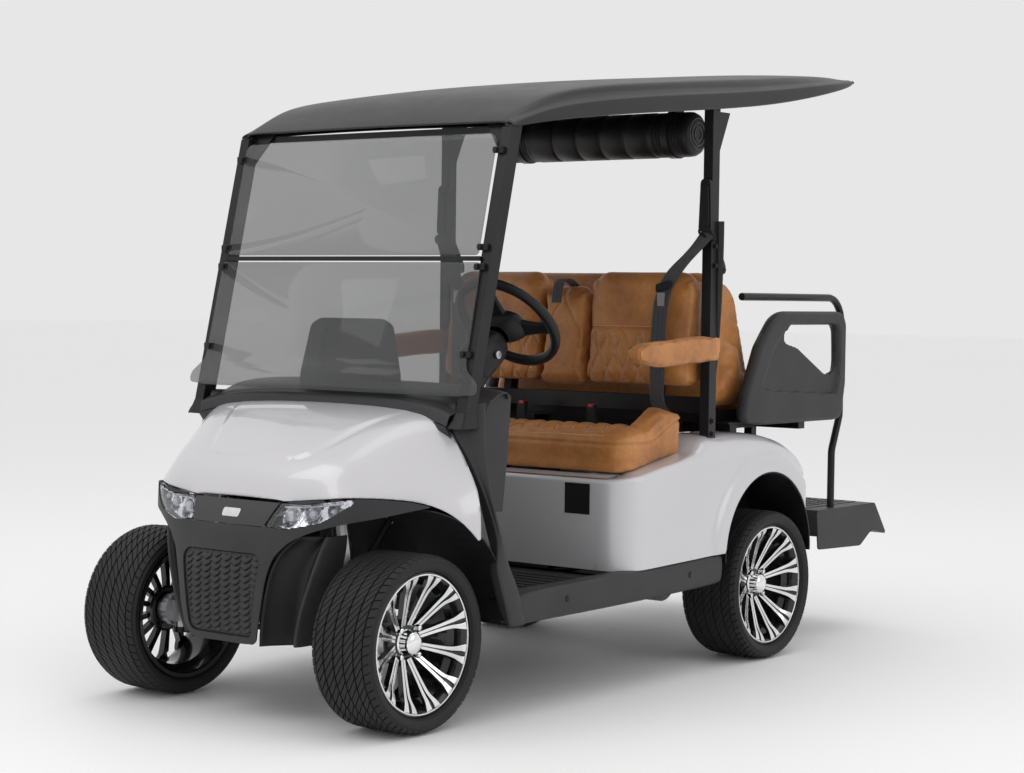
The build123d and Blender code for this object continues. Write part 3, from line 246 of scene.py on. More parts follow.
PEARL = pearl_paint()
LEATHER = leather()
WEBBING = webbing()
CHARCOAL = plastic("charcoal_plastic", (0.026, 0.026, 0.028), (0.038, 0.038, 0.040), 0.46)
BLACK = plastic("black_plastic", (0.006, 0.006, 0.007), (0.012, 0.012, 0.013), 0.42)
ROOF = plastic("roof_plastic", (0.018, 0.018, 0.020), (0.028, 0.028, 0.030), 0.40, streak=3.0)
STRUT = plastic("powder_coat", (0.006, 0.006, 0.007), (0.013, 0.013, 0.014), 0.34, grain=2200.0,
                strength=0.15)
GLOSS = plastic("gloss_black", (0.004, 0.004, 0.004), (0.008, 0.008, 0.008), 0.12, strength=0.02, coat=1.0)
RUBBER = rubber("tyre_rubber", 0.009)
MAT = rubber("mat_rubber", 0.014, 0.8)
STEEL = metal("plain_steel", (0.45, 0.45, 0.46), 0.34)
ALLOY = metal("machined_alloy", (0.86, 0.86, 0.87), 0.17, 0.05)
CHROME = metal("chrome", (0.93, 0.93, 0.94), 0.06)
RIM_BLACK = plastic("rim_black", (0.006, 0.006, 0.007), (0.012, 0.012, 0.012), 0.22, strength=0.05, coat=0.6)
GLASS = tinted_glass()
LENS = clear_lens()
FROST = frosted_lens()
REFLECTOR = metal("lamp_reflector", (0.80, 0.80, 0.83), 0.16)
RED = plastic("red_button", (0.42, 0.012, 0.01), (0.55, 0.02, 0.016), 0.3, coat=0.5)
THREAD = plastic("stitch_thread", (0.62, 0.45, 0.29), (0.82, 0.64, 0.44), 0.7)


# ------------------------------------------------------------------ mesh tools
def make(name, points, faces, material, body="chassis", slot=None, smooth=40.0, stands_for=(), materials=()):
    """A mesh piece from layout millimetres that rides on a body."""
    mesh = bpy.data.meshes.new(name)
    points = (np.asarray(points, float) + SHIFT) * MM
    mesh.from_pydata([tuple(p) for p in points], [], [tuple(int(i) for i in f) for f in faces])
    for m in (material, *materials):
        mesh.materials.append(m)
    piece = bpy.data.objects.new(name, mesh)
    bpy.context.scene.collection.objects.link(piece)
    mesh.validate()
    mesh.polygons.foreach_set("use_smooth", [True] * len(mesh.polygons))
    if smooth:
        mesh.set_sharp_from_angle(angle=math.radians(smooth))
    settle(piece, body, stands_for)
    return piece


def settle(piece, body="chassis", stands_for=()):
    if body:
        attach(piece, body)
    if stands_for:
        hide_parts(*stands_for)


def outward(piece):
    """Makes a closed piece's faces point out."""
    made = bmesh.new()
    made.from_mesh(piece.data)
    bmesh.ops.recalc_face_normals(made, faces=made.faces)
    made.to_mesh(piece.data)
    made.free()
    return piece


def bevel(piece, width, segments=2, angle=40.0):
    made = piece.modifiers.new("bevel", "BEVEL")
    made.width = width * MM
    made.segments = segments
    made.limit_method = "ANGLE"
    made.angle_limit = math.radians(angle)
    made.harden_normals = True
    return piece


def thicken(piece, depth, offset=-1.0, even=False):
    made = piece.modifiers.new("wall", "SOLIDIFY")
    made.thickness = depth * MM
    made.offset = offset
    made.use_even_offset = even
    return piece


def weights(rows, count, closed=False):
    """Cubic B-spline weights that turn a row of control points into count points."""
    if closed:
        t = np.arange(count) * rows / count
        first, f = np.floor(t).astype(int), t - np.floor(t)
        made = np.zeros((count, rows))
        parts = ((1 - f) ** 3 / 6, (3 * f ** 3 - 6 * f ** 2 + 4) / 6,
                 (-3 * f ** 3 + 3 * f ** 2 + 3 * f + 1) / 6, f ** 3 / 6)
        for k, part in enumerate(parts):
            made[np.arange(count), (first + k - 1) % rows] += part
        return made
    degree = min(3, rows - 1)
    knots = np.concatenate([np.zeros(degree), np.linspace(0, 1, rows - degree + 1), np.ones(degree)])
    t = np.linspace(0, 1, count)
    made = np.zeros((count, len(knots) - 1))
    for i in range(len(knots) - 1):
        made[:, i] = (t >= knots[i]) & (t < knots[i + 1])
    made[t >= 1.0, rows - 1] = 1.0
    for d in range(1, degree + 1):
        last = made.copy()
        for i in range(len(knots) - 1 - d):
            left = knots[i + d] - knots[i]
            right = knots[i + d + 1] - knots[i + 1]
            a = (t - knots[i]) / left * last[:, i] if left > 0 else 0
            b = (knots[i + d + 1] - t) / right * last[:, i + 1] if right > 0 else 0
            made[:, i] = a + b
        made[t >= 1.0, rows - 1] = 1.0
    return made[:, :rows]


def surface(net, down, along, closed_down=False, closed_along=False):
    """A smooth surface through a net of control points, as a grid of points."""
    net = np.asarray(net, float)
    a = weights(net.shape[0], down, closed_down)
    b = weights(net.shape[1], along, closed_along)
    return np.einsum("ir,jc,rck->ijk", a, b, net)


def grid_faces(down, along, closed_down=False, closed_along=False, start=0):
    faces = []
    for i in range(down if closed_down else down - 1):
        for j in range(along if closed_along else along - 1):
            k, m = (i + 1) % down, (j + 1) % along
            faces.append((start + i * along + j, start + i * along + m, start + k * along + m,
                          start + k * along + j))
    return faces


def clip(points, faces, outside):
    """Cuts a mesh along the line where outside(points) is zero, and keeps the negative side."""
    points = [np.asarray(p, float) for p in points]
    value = list(outside(np.array(points)))
    cuts, kept = {}, []

    def cut(a, b):
        key = (min(a, b), max(a, b))
        if key not in cuts:
            p, q = points[key[0]], points[key[1]]
            low, high = 0.0, 1.0
            sign = value[key[0]] < 0
            for _ in range(14):
                mid = (low + high) / 2
                if (outside((p + (q - p) * mid)[None])[0] < 0) == sign:
                    low = mid
                else:
                    high = mid
            points.append(p + (q - p) * low)
            value.append(0.0)
            cuts[key] = len(points) - 1
        return cuts[key]

    for face in faces:
        inside = [value[i] < 0 for i in face]
        if all(inside):
            kept.append(face)
            continue
        if not any(inside):
            continue
        made = []
        for a, b in zip(face, face[1:] + face[:1]):
            if value[a] < 0:
                made.append(a)
            if (value[a] < 0) != (value[b] < 0):
                made.append(cut(a, b))
        if len(made) > 2:
            kept.append(tuple(made))
    used = sorted({i for f in kept for i in f})
    renumber = {old: new for new, old in enumerate(used)}
    return np.array([points[i] for i in used]), [tuple(renumber[i] for i in f) for f in kept]


def mirror_x(points, faces):
    """Adds the mirror image across the cart's middle."""
    points = np.asarray(points, float)
    count = len(points)
    other = points * np.array([-1.0, 1.0, 1.0])
    flipped = [tuple(i + count for i in reversed(f)) for f in faces]
    return np.concatenate([points, other]), list(faces) + flipped


def merge(*meshes):
    points, faces, count = [], [], 0
    for p, f in meshes:
        points.append(np.asarray(p, float))
        faces += [tuple(i + count for i in face) for face in f]
        count += len(p)
    return np.concatenate(points), faces


def box_mesh(x, y, z):
    points = [(a, b, c) for a in x for b in y for c in z]
    faces = [(0, 1, 3, 2), (4, 6, 7, 5), (0, 4, 5, 1), (2, 3, 7, 6), (0, 2, 6, 4), (1, 5, 7, 3)]
    return np.array(points, float), faces


def ring_mesh(profile, count, closed=True):
    """Turns an (x, radius) outline about the X axis."""
    profile = np.asarray(profile, float)
    angles = np.arange(count) * 2 * math.pi / count
    points = [(x, r * math.sin(a), r * math.cos(a)) for a in angles for x, r in profile]
    return np.array(points), grid_faces(count, len(profile), True, closed)


def rounded_outline(corners, steps=6):
    """A closed outline through (a, b, radius) corners, as points."""
    made = []
    count = len(corners)
    for i, corner in enumerate(corners):
        here = np.array(corner[:2], float)
        radius = corner[2] if len(corner) > 2 else 0.0
        before = np.array(corners[i - 1][:2], float) - here
        after = np.array(corners[(i + 1) % count][:2], float) - here
        u, v = before / np.linalg.norm(before), after / np.linalg.norm(after)
        half = math.acos(max(-1.0, min(1.0, float(u @ v)))) / 2
        if radius <= 0 or half < 1e-3:
            made.append(here)
            continue
        reach = min(radius / math.tan(half), 0.49 * np.linalg.norm(before), 0.49 * np.linalg.norm(after))
        radius = reach * math.tan(half)
        middle = here + (u + v) / np.linalg.norm(u + v) * radius / math.sin(half)
        first, last = here + u * reach - middle, here + v * reach - middle
        start = math.atan2(first[1], first[0])
        turn = math.atan2(last[1], last[0]) - start
        turn = (turn + math.pi) % (2 * math.pi) - math.pi
        for k in range(steps + 1):
            angle = start + turn * k / steps
            made.append(middle + radius * np.array([math.cos(angle), math.sin(angle)]))
    return np.array(made)


def smoothstep(low, high, value):
    t = np.clip((value - low) / (high - low), 0, 1)
    return t * t * (3 - 2 * t)


def tube_mesh(path, radius, sides=12, cap=True):
    """A round tube along points; radius is one number or one a point."""
    path = np.asarray(path, float)
    radii = np.broadcast_to(np.asarray(radius, float), (len(path),))
    ahead = np.gradient(path, axis=0)
    ahead /= np.linalg.norm(ahead, axis=1, keepdims=True)
    side = np.cross(ahead[0], (0.0, 0.0, 1.0) if abs(ahead[0][2]) < 0.9 else (1.0, 0.0, 0.0))
    points = []
    for p, d, r in zip(path, ahead, radii):
        side = side - d * (side @ d)
        side /= np.linalg.norm(side)
        up = np.cross(d, side)
        for k in range(sides):
            a = 2 * math.pi * k / sides
            points.append(p + r * (math.cos(a) * side + math.sin(a) * up))
    faces = grid_faces(len(path), sides, False, True)
    if cap:
        faces.append(tuple(reversed(range(sides))))
        faces.append(tuple(range((len(path) - 1) * sides, len(path) * sides)))
    return np.array(points), faces


def dress(material, *names, bevelled=1.5, weld=True):
    """Gives CAD nodes a procedural finish and softened edges."""
    for name in names:
        piece = NODES[name]
        piece.data.materials.clear()
        piece.data.materials.append(material)
        if weld:
            made = piece.modifiers.new("weld", "WELD")
            made.merge_threshold = 0.00002
        if bevelled:
            bevel(piece, bevelled, 2, 35.0)
        made = piece.modifiers.new("normals", "WEIGHTED_NORMAL")
        made.keep_sharp = True


# ------------------------------------------------------------------ camera and studio
def camera():
    yaw, pitch, roll = 2.234290, -0.042047, 0.012980
    ahead = Vector((math.cos(pitch) * math.cos(yaw), math.cos(pitch) * math.sin(yaw), math.sin(pitch)))
    right = Vector((math.sin(yaw), -math.cos(yaw), 0.0))
    up = right.cross(ahead)
    right, up = right * math.cos(roll) + up * math.sin(roll), up * math.cos(roll) - right * math.sin(roll)
    data = bpy.data.cameras.new("camera")
    data.sensor_width, data.lens = 36.0, 75.70
    made = bpy.data.objects.new("camera", data)
    turn = Matrix((right, up, -ahead)).transposed().to_4x4()
    made.matrix_world = Matrix.Translation(P(4179.2, -4301.4, 1159.8)) @ turn
    bpy.context.scene.collection.objects.link(made)
    bpy.context.scene.camera = made


def area_light(name, place, target, size, power):
    data = bpy.data.lights.new(name, "AREA")
    data.shape, data.size, data.size_y = "RECTANGLE", size[0], size[1]
    data.energy = power
    made = bpy.data.objects.new(name, data)
    made.location = place
    made.rotation_euler = (Vector(target) - Vector(place)).to_track_quat("-Z", "Y").to_euler()
    bpy.context.scene.collection.objects.link(made)


def studio():
    mesh = bpy.data.meshes.new("floor")
    size = 60.0
    mesh.from_pydata([(-size, -size, 0), (size, -size, 0), (size, size, 0), (-size, size, 0)], [],
                     [(0, 1, 2, 3)])
    t = Tree("studio_floor")
    t.set(base=t.ramp(t.noise(0.3, 2.0), (0.2, (0.955, 0.955, 0.955)), (0.8, (0.965, 0.965, 0.965))),
          rough=0.6)
    mesh.materials.append(t.material)
    floor = bpy.data.objects.new("floor", mesh)
    bpy.context.scene.collection.objects.link(floor)
    world = bpy.data.worlds.new("studio")
    bpy.context.scene.world = world
    world.use_nodes = True
    world.node_tree.nodes["Background"].inputs["Color"].default_value = (1.0, 1.0, 1.0, 1.0)
    world.node_tree.nodes["Background"].inputs["Strength"].default_value = 0.80
    area_light("key", (-1.5, -4.5, 5.0), (0.0, -0.6, 0.6), (4.0, 3.0), 60.0)
    area_light("top", (0.8, 0.6, 6.0), (0.0, 0.2, 0.5), (5.0, 5.0), 60.0)
    area_light("side", (6.0, 1.0, 2.6), (0.3, 0.2, 0.7), (3.0, 2.5), 30.0)
    bpy.context.scene.view_settings.view_transform = "Standard"


camera()
studio()


# ------------------------------------------------------------------ wheels
TYRE_R, FLANGE_R, BEAD_R = 239.0, 191.0, 178.0
HUB_X, HUB_R, SPOKES = 23.0, 66.0, 12
TREAD_BASE = 5.0
# Columns: the two edges of a tread rib and the lean of its cross cuts.
TREAD_RIBS = ((-99, -83, 0.12), (-80, -54, 0.34), (-50, -19, 0.34), (-15, 15, 0.34), (19, 50, 0.34),
              (54, 80, 0.34),
              (83, 99, 0.12))
TREAD_BLOCKS = 60


def tread_radius(x):
    over = max(0.0, abs(x) - 76.0)
    return TYRE_R - 1.0 * (x / 76.0) ** 2 - 0.0145 * over ** 2


def tyre_mesh():
    outer = [(76, BEAD_R), (81, FLANGE_R), (84, 193.5), (89, 194.5), (90, 196.5), (96, 199), (100, 205),
             (102.3, 212),
             (102.5, 216), (103.4, 217), (103.4, 219), (101.9, 220), (100, 224),
             (98, tread_radius(96) - TREAD_BASE)]
    crown = [(x, tread_radius(x) - TREAD_BASE) for x in (84, 60, 30, 0)]
    half_line = outer + crown
    profile = half_line + [(-x, r) for x, r in reversed(half_line[:-1])]
    carcass = ring_mesh(profile, 112, closed=False)
    carcass = (carcass[0], [tuple(reversed(f)) for f in carcass[1]])
    blocks, faces = [], []
    pitch = 2 * math.pi / TREAD_BLOCKS
    for low, high, lean in TREAD_RIBS:
        step = 0.5 if low in (-50, 19) else 0.0
        cut = 1.5 / TYRE_R
        for i in range(TREAD_BLOCKS):
            rings = []
            for inset, drop in ((0.0, TREAD_BASE + 1.0), (0.0, 1.2), (1.1, 0.0)):
                for x, end in ((low + inset, 0), (high - inset, 0), (high - inset, 1), (low + inset, 1)):
                    angle = (i + step + end) * pitch + lean * (x - (low + high) / 2) / 60.0
                    angle += (cut + inset / TYRE_R) * (1 if end == 0 else -1)
                    radius = tread_radius(x) - drop
                    rings.append((x, radius * math.sin(angle), radius * math.cos(angle)))
            start = len(blocks)
            blocks += rings
            for level in (0, 4):
                for k in range(4):
                    m = (k + 1) % 4
                    faces.append((start + level + k, start + level + m, start + level + 4 + m,
                                  start + level + 4 + k))
            faces.append((start + 8, start + 9, start + 10, start + 11))
    return merge(carcass, (blocks, faces))


# Columns: radius, axial place of the face, half width, half width of the groove.
SPOKE_LINE = ((46, 27.5, 8.8, 0.8), (66, 35, 9.0, 0.9), (88, 43.5, 9.6, 1.2), (112, 53, 10.6, 1.7),
              (134, 62, 12.2, 2.4),
              (146, 68, 13.6, 3.2), (153, 73, 15.6, 4.2), (160, 77.5, 18.6, 5.4), (168, 81.5, 22.4, 6.4),
              (175, 84.6, 25.4, 6.4), (181, 86.2, 27.4, 6.0))


def spoke_mesh(angle):
    """One double spoke, two machined faces and a dark groove: its points, faces and bright faces."""
    points, faces, bright = [], [], []
    for i, (radius, place, half, groove) in enumerate(SPOKE_LINE):
        depth = 20.0 if radius < 150 else 14.0
        edge = 0.7
        section = [(-half + 1.5, -depth), (-half, -edge), (-half + edge, 0), (-groove - edge, 0),
                   (-groove, -edge),
                   (-groove * 0.7, -5.0), (groove * 0.7, -5.0), (groove, -edge), (groove + edge, 0),
                   (half - edge, 0),
                   (half, -edge), (half - 1.5, -depth)]
        for across, height in section:
            y, z = across, radius
            points.append((place + height, y * math.cos(angle) + z * math.sin(angle),
                           z * math.cos(angle) - y * math.sin(angle)))
    count = 12
    for i in range(len(SPOKE_LINE) - 1):
        for k in range(count):
            m = (k + 1) % count
            a = i * count
            faces.append((a + k, a + count + k, a + count + m, a + m))
            bright.append(k in (1, 2, 3, 7, 8, 9))
    return points, faces, bright


def lathe_part(profile, count=96, closed=True):
    points, faces = ring_mesh(profile, count, closed)
    return points, [tuple(reversed(f)) for f in faces]


def rim_mesh():
    """Points, faces, and a material index for each face: 0 black, 1 machined, 2 chrome."""
    parts, kinds = [], []

    def add(mesh, kind):
        parts.append(mesh)
        kinds.extend(kind if isinstance(kind, list) else [kind] * len(mesh[1]))

    add(lathe_part([(-92, FLANGE_R), (-88, FLANGE_R + 1.5), (-82, FLANGE_R), (-76, BEAD_R), (-60, BEAD_R),
                    (-48, 163),
                    (34, 163), (48, BEAD_R), (76, BEAD_R), (80, FLANGE_R), (84, FLANGE_R + 1.5),
                    (87, FLANGE_R + 0.5),
                    (88, 188.5), (86.5, 187.2), (82, 181), (70, 173.5), (50, 171), (36, 157), (-50, 157),
                    (-63, 172),
                    (-86, 175), (-92, 180)]), 0)
    add(lathe_part([(84.5, 182.6), (87.2, 183.0), (87.6, 183.6), (87.6, 186.6), (87.0, 187.4),
                    (84.5, 187.4)]), 1)
    for i in range(SPOKES):
        points, faces, bright = spoke_mesh(2 * math.pi * (i + 0.5) / SPOKES)
        add((points, faces), [1 if b else 0 for b in bright])
    add(lathe_part([(0, 16), (0, HUB_R - 6), (4, HUB_R), (HUB_X - 3, HUB_R), (HUB_X, HUB_R - 3),
                    (HUB_X + 1, 54),
                    (HUB_X - 1.5, 51), (HUB_X - 1.5, 36), (HUB_X, 34), (HUB_X, 16)], 72), 0)
    add(lathe_part([(HUB_X - 3, 36.0), (HUB_X + 3, 35.6), (HUB_X + 6, 32.5), (HUB_X + 8, 31.4),
                    (HUB_X + 30, 30.2),
                    (HUB_X + 31.4, 30.9), (HUB_X + 33.4, 30.9), (HUB_X + 35, 29.8), (HUB_X + 38.2, 26),
                    (HUB_X + 40.6, 18),
                    (HUB_X + 41.8, 8), (HUB_X + 42, 0.5)], 64, closed=False), 2)
    for i in range(4):
        angle = math.pi / 4 + i * math.pi / 2
        nut, nut_faces = lathe_part([(0, 11.5), (4, 11.0), (7, 9.6), (20, 9.2), (23.5, 7.6), (25, 4.0),
                                     (25.4, 0.4)], 6, False)
        nut = nut + np.array([HUB_X - 2, 50.8 * math.sin(angle), 50.8 * math.cos(angle)])
        add((nut, nut_faces), 2)
    points, faces = merge(*parts)
    return points, faces, kinds


def wheel_mesh(name, points, faces, flip, materials, kinds=None, sharp=32.0):
    mesh = bpy.data.meshes.new(name)
    points = np.asarray(points, float) * MM * np.array([-1.0 if flip else 1.0, 1.0, 1.0])
    mesh.from_pydata([tuple(p) for p in points], [],
                     [tuple(reversed(f)) if flip else tuple(f) for f in faces])
    for m in materials:
        mesh.materials.append(m)
    if kinds:
        mesh.polygons.foreach_set("material_index", kinds)
    mesh.polygons.foreach_set("use_smooth", [True] * len(mesh.polygons))
    mesh.set_sharp_from_angle(angle=math.radians(sharp))
    return mesh


def wheels():
    tyre_points, tyre_faces = tyre_mesh()
    rim_points, rim_faces, kinds = rim_mesh()
    for side, sign in (("left", 1), ("right", -1)):
        tyre = wheel_mesh("tyre_" + side, tyre_points, tyre_faces, sign < 0, (RUBBER,))
        rim = wheel_mesh("rim_" + side, rim_points, rim_faces, sign < 0, (RIM_BLACK, ALLOY, CHROME), kinds)
        for end, x, y in (("front", 445.0, 0.0), ("rear", 490.0, REAR)):
            for mesh, what, slot in ((tyre, "tyre", "tyre"), (rim, "rim", "alloy")):
                piece = bpy.data.objects.new(f"{what}_{end}_{side}_seen", mesh)
                bpy.context.scene.collection.objects.link(piece)
                piece.location = P(x * sign, y, TYRE_R)
                settle(piece, f"wheel_{end}_{side}", (f"{what}_{end}_{side}",))


wheels()


# ------------------------------------------------------------------ hood
# Columns: y, half width at the lip, shoulder x, shoulder z, crown z.
HOOD_FORM = ((-152, 172, 126, 604, 607), (-137, 312, 208, 640, 662), (-110, 374, 278, 684, 707),
             (-62, 418, 316, 719, 741),
             (-10, 452, 334, 750, 772), (50, 503, 362, 784, 806), (120, 545, 408, 814, 835),
             (200, 573, 464, 834, 857),
             (330, 586, 494, 838, 862))
# The fender's edges lie on slanting cuts: each is a line of z against y + FENDER_TURN * |x|.
FENDER_TURN = 1.207
FENDER_END = ((405, 961), (423, 960), (466, 946), (517, 924), (590, 887), (669, 841), (733, 795), (790, 745),
              (830, 715))
FENDER_LIP = ((-200, 599), (6, 601), (180, 612), (318, 621), (400, 621), (508, 617), (617, 608), (684, 596),
              (750, 575),
              (816, 541), (873, 497), (920, 449), (937, 417), (947, 400))
# Half width of the raised middle of the hood along y.
PLATEAU = ((-98, 120), (-92, 155), (-75, 180), (-20, 215), (50, 250), (110, 285), (200, 330))


def lip_z(x, y):
    """The lower edge of the hood: its seam with the bumper, then the wheel arch."""
    return smooth_curve(FENDER_LIP, y + FENDER_TURN * np.abs(x))


def hood_rear_y(x):
    return np.interp(np.abs(x), (0, 160, 300, 400, 460, 500, 540, 600),
                     (193, 191, 181, 168, 160, 152, 140, 120))


def smooth_curve(table, value):
    """A smooth line through a short table, eased between its rows."""
    xs, ys = np.array(table, float).T
    slope = np.gradient(ys, xs)
    value = np.clip(value, xs[0], xs[-1])
    i = np.clip(np.searchsorted(xs, value, side="right") - 1, 0, len(xs) - 2)
    step = xs[i + 1] - xs[i]
    t = (value - xs[i]) / step
    return ((2 * t ** 3 - 3 * t ** 2 + 1) * ys[i] + (t ** 3 - 2 * t ** 2 + t) * step * slope[i]
            + (3 * t ** 2 - 2 * t ** 3) * ys[i + 1] + (t ** 3 - t ** 2) * step * slope[i + 1])


def hood_columns(half, shoulder_x, shoulder_z, crown):
    fall = crown - shoulder_z
    points = [(0, crown), (0.40 * shoulder_x, crown - 0.04 * fall), (0.78 * shoulder_x, crown - 0.34 * fall),
              (shoulder_x + 6, shoulder_z + 3), (0.5 * (shoulder_x + half) + 3, 0.5 * (shoulder_z + 606)),
              (half, 604), (half + 4, 540), (half + 4, 440), (half + 2, 380)]
    return [(-x, z) for x, z in reversed(points[1:])] + points


def hood():
    net = [[(x, form[0], z) for x, z in hood_columns(*form[1:])] for form in HOOD_FORM]
    down, along = 120, 240
    points = surface(net, down, along).reshape(-1, 3)
    faces = grid_faces(down, along)
    x, y, z = points.T
    half = np.interp(y, [p[0] for p in PLATEAU], [p[1] for p in PLATEAU], left=-40)
    inside = np.minimum(half - np.abs(x), (y + 99) * 1.5)
    fade = 1 - 0.85 * smoothstep(40, 185, y)
    points[:, 2] += 6.0 * smoothstep(-15, 4, inside) * smoothstep(640, 690, z) * fade
    scoop = np.exp(-((inside + 17) / 13.0) ** 2) * smoothstep(-118, -92, y) * (1 - smoothstep(20, 150, y))
    points[:, 2] -= 2.4 * scoop * smoothstep(640, 680, z)

    def outside(p):
        x, y, z = p.T
        turned = y + FENDER_TURN * np.abs(x)
        low = lip_z(x, y) - z
        rear = np.where(z > 790, y - hood_rear_y(x), y - hood_rear_y(x) - 60)
        end = np.interp(z, [row[0] for row in FENDER_END], [row[1] for row in FENDER_END])
        trim = np.where(np.abs(x) > 380, (turned - end) / 1.567, y - 300)
        return np.max([low, rear, trim], axis=0)

    points, faces = clip(points, faces, outside)
    piece = make("hood_shell", points, faces, PEARL, slot="pearl_body", smooth=50, stands_for=("front_cowl",))
    thicken(piece, 3.5, -1.0)
    bevel(piece, 1.2, 2, 60)
    return piece


hood()


# ------------------------------------------------------------------ bumper, grille and lamps
NOSE_PLAN = ((0, -240), (60, -239), (119, -232), (154, -225), (200, -207), (255, -178), (301, -148),
             (353, -112), (388, -78),
             (422, -40), (469, 14), (510, 60), (545, 105))
NOSE_SIDE = ((200, -196), (221, -207), (250, -224), (290, -233), (350, -236), (400, -235), (440, -228),
             (480, -215), (535, -191),
             (570, -171), (600, -152), (632, -135))
NOSE_LOW = ((0, 219), (100, 220), (117, 222), (134, 245), (148, 300), (162, 382), (178, 440), (206, 482),
            (252, 515), (304, 537),
            (360, 554), (422, 570), (480, 588), (515, 598), (545, 606))
LAMP = ((139, 536, 4), (215, 533, 40), (300, 553, 60), (372, 607, 10), (366, 617, 8), (250, 598, 60),
        (166, 597, 4))
BADGE = ((-133, 534, 6), (133, 534, 6), (161, 597, 4), (-161, 597, 4))
GRILLE = ((-116, 240, 22), (116, 240, 22), (147, 462, 26), (-147, 462, 26))


def nose_y(x, z):
    """The front of the nose: the later of its plan and side lines, with a soft blend between."""
    plan, side = smooth_curve(NOSE_PLAN, np.abs(x)), smooth_curve(NOSE_SIDE, z)
    soft = 26.0
    return soft * np.log(np.exp(plan / soft) + np.exp(side / soft)) - 8.0


def polygon_distance(corners):
    """Signed distance to a rounded outline: negative inside."""
    line = rounded_outline(corners)
    nxt = np.roll(line, -1, axis=0)

    def distance(a, b):
        p = np.stack([a, b], -1)[:, None, :]
        edge = (nxt - line)[None]
        rel = p - line[None]
        t = np.clip((rel * edge).sum(-1) / np.maximum((edge * edge).sum(-1), 1e-9), 0, 1)
        away = np.linalg.norm(rel - edge * t[..., None], axis=-1).min(1)
        crossed = ((line[None, :, 1] > p[..., 1]) != (nxt[None, :, 1] > p[..., 1]))
        with np.errstate(divide="ignore", invalid="ignore"):
            at = (line[None, :, 0]
                  + (p[..., 1] - line[None, :, 1]) / (nxt - line)[None, :, 1] * (nxt - line)[None, :, 0])
        inside = (crossed & (p[..., 0] < at)).sum(1) % 2 == 1
        return np.where(inside, -away, away)

    return distance


def nose_grid(x_low, x_high, z_low, z_high, step, back=0.0):
    xs = np.linspace(x_low, x_high, int((x_high - x_low) / step) + 1)
    zs = np.linspace(z_low, z_high, int((z_high - z_low) / step) + 1)
    gx, gz = np.meshgrid(xs, zs, indexing="ij")
    gy = nose_y(gx.ravel(), gz.ravel()) + back
    points = np.stack([gx.ravel(), gy, gz.ravel()], -1)
    return points, grid_faces(len(xs), len(zs))


def low_line(x):
    return smooth_curve(NOSE_LOW, np.abs(x))


def front_end():
    lamp, badge, grille = polygon_distance(LAMP), polygon_distance(BADGE), polygon_distance(GRILLE)

    def body(p):
        x, y, z = p.T
        return np.max([z - lip_z(x, y) + 2.5, low_line(x) - z, 1.5 - lamp(np.abs(x), z), 1.5 - badge(x, z),
                       1.5 - grille(x, z)], axis=0)

    points, faces = nose_grid(-530, 530, 200, 640, 6.2)
    points, faces = clip(points, faces, body)
    shell = make("bumper_shell", points, faces, CHARCOAL, slot="charcoal", smooth=50,
                 stands_for=("front_bumper",))
    thicken(shell, 5.0, -1.0)
    bevel(shell, 1.6, 2, 60)

    points, faces = nose_grid(-165, 165, 530, 600, 5.0, 1.2)
    points, faces = clip(points, faces, lambda p: badge(p[:, 0], p[:, 2]))
    panel = make("badge_panel_seen", points, faces, GLOSS, slot="gloss_black", smooth=50,
                 stands_for=("badge_panel",))
    thicken(panel, 4.0, -1.0)
    bevel(panel, 1.0, 2, 60)

    plate = polygon_distance(((-31, 553, 6), (31, 553, 6), (33, 575, 6), (-33, 575, 6)))
    points, faces = nose_grid(-40, 40, 548, 582, 2.5, -1.4)
    points, faces = clip(points, faces, lambda p: plate(p[:, 0], p[:, 2]))
    blank = make("blank_plate", points, faces, ALLOY, slot="alloy", smooth=50)
    thicken(blank, 3.0, -1.0)
    bevel(blank, 0.8, 2, 60)

    scales(grille)
    lamps(lamp)
    inner_nose()


def scales(grille):
    """Columns of small pointed scales, each row set half a scale over, on a dark field."""
    pitch_x, pitch_z = 37.0, 17.4
    points, faces = nose_grid(-152, 152, 234, 468, 1.6, 3.0)
    x, _, z = points.T
    column = x / pitch_x
    a = np.abs((column - np.floor(column)) * 2 - 1)
    row = (z - 0.55 * pitch_z * a) / pitch_z + 0.5 * (np.floor(column) % 2)
    b = row - np.floor(row)
    height = smoothstep(0.02, 0.16, b) * (1.0 - 0.75 * b) * (1 - 0.45 * smoothstep(0.78, 1.0, a))
    edge = smoothstep(-3.0, -11.0, grille(x, z))
    points[:, 1] += (5.0 - 10.5 * height) * edge
    points, faces = clip(points, faces, lambda p: grille(p[:, 0], p[:, 2]) - 1.0)
    piece = make("grille_scales", points, faces, CHARCOAL, slot="black_plastic", smooth=60,
                 stands_for=("grille",))
    thicken(piece, 2.0, -1.0, False)


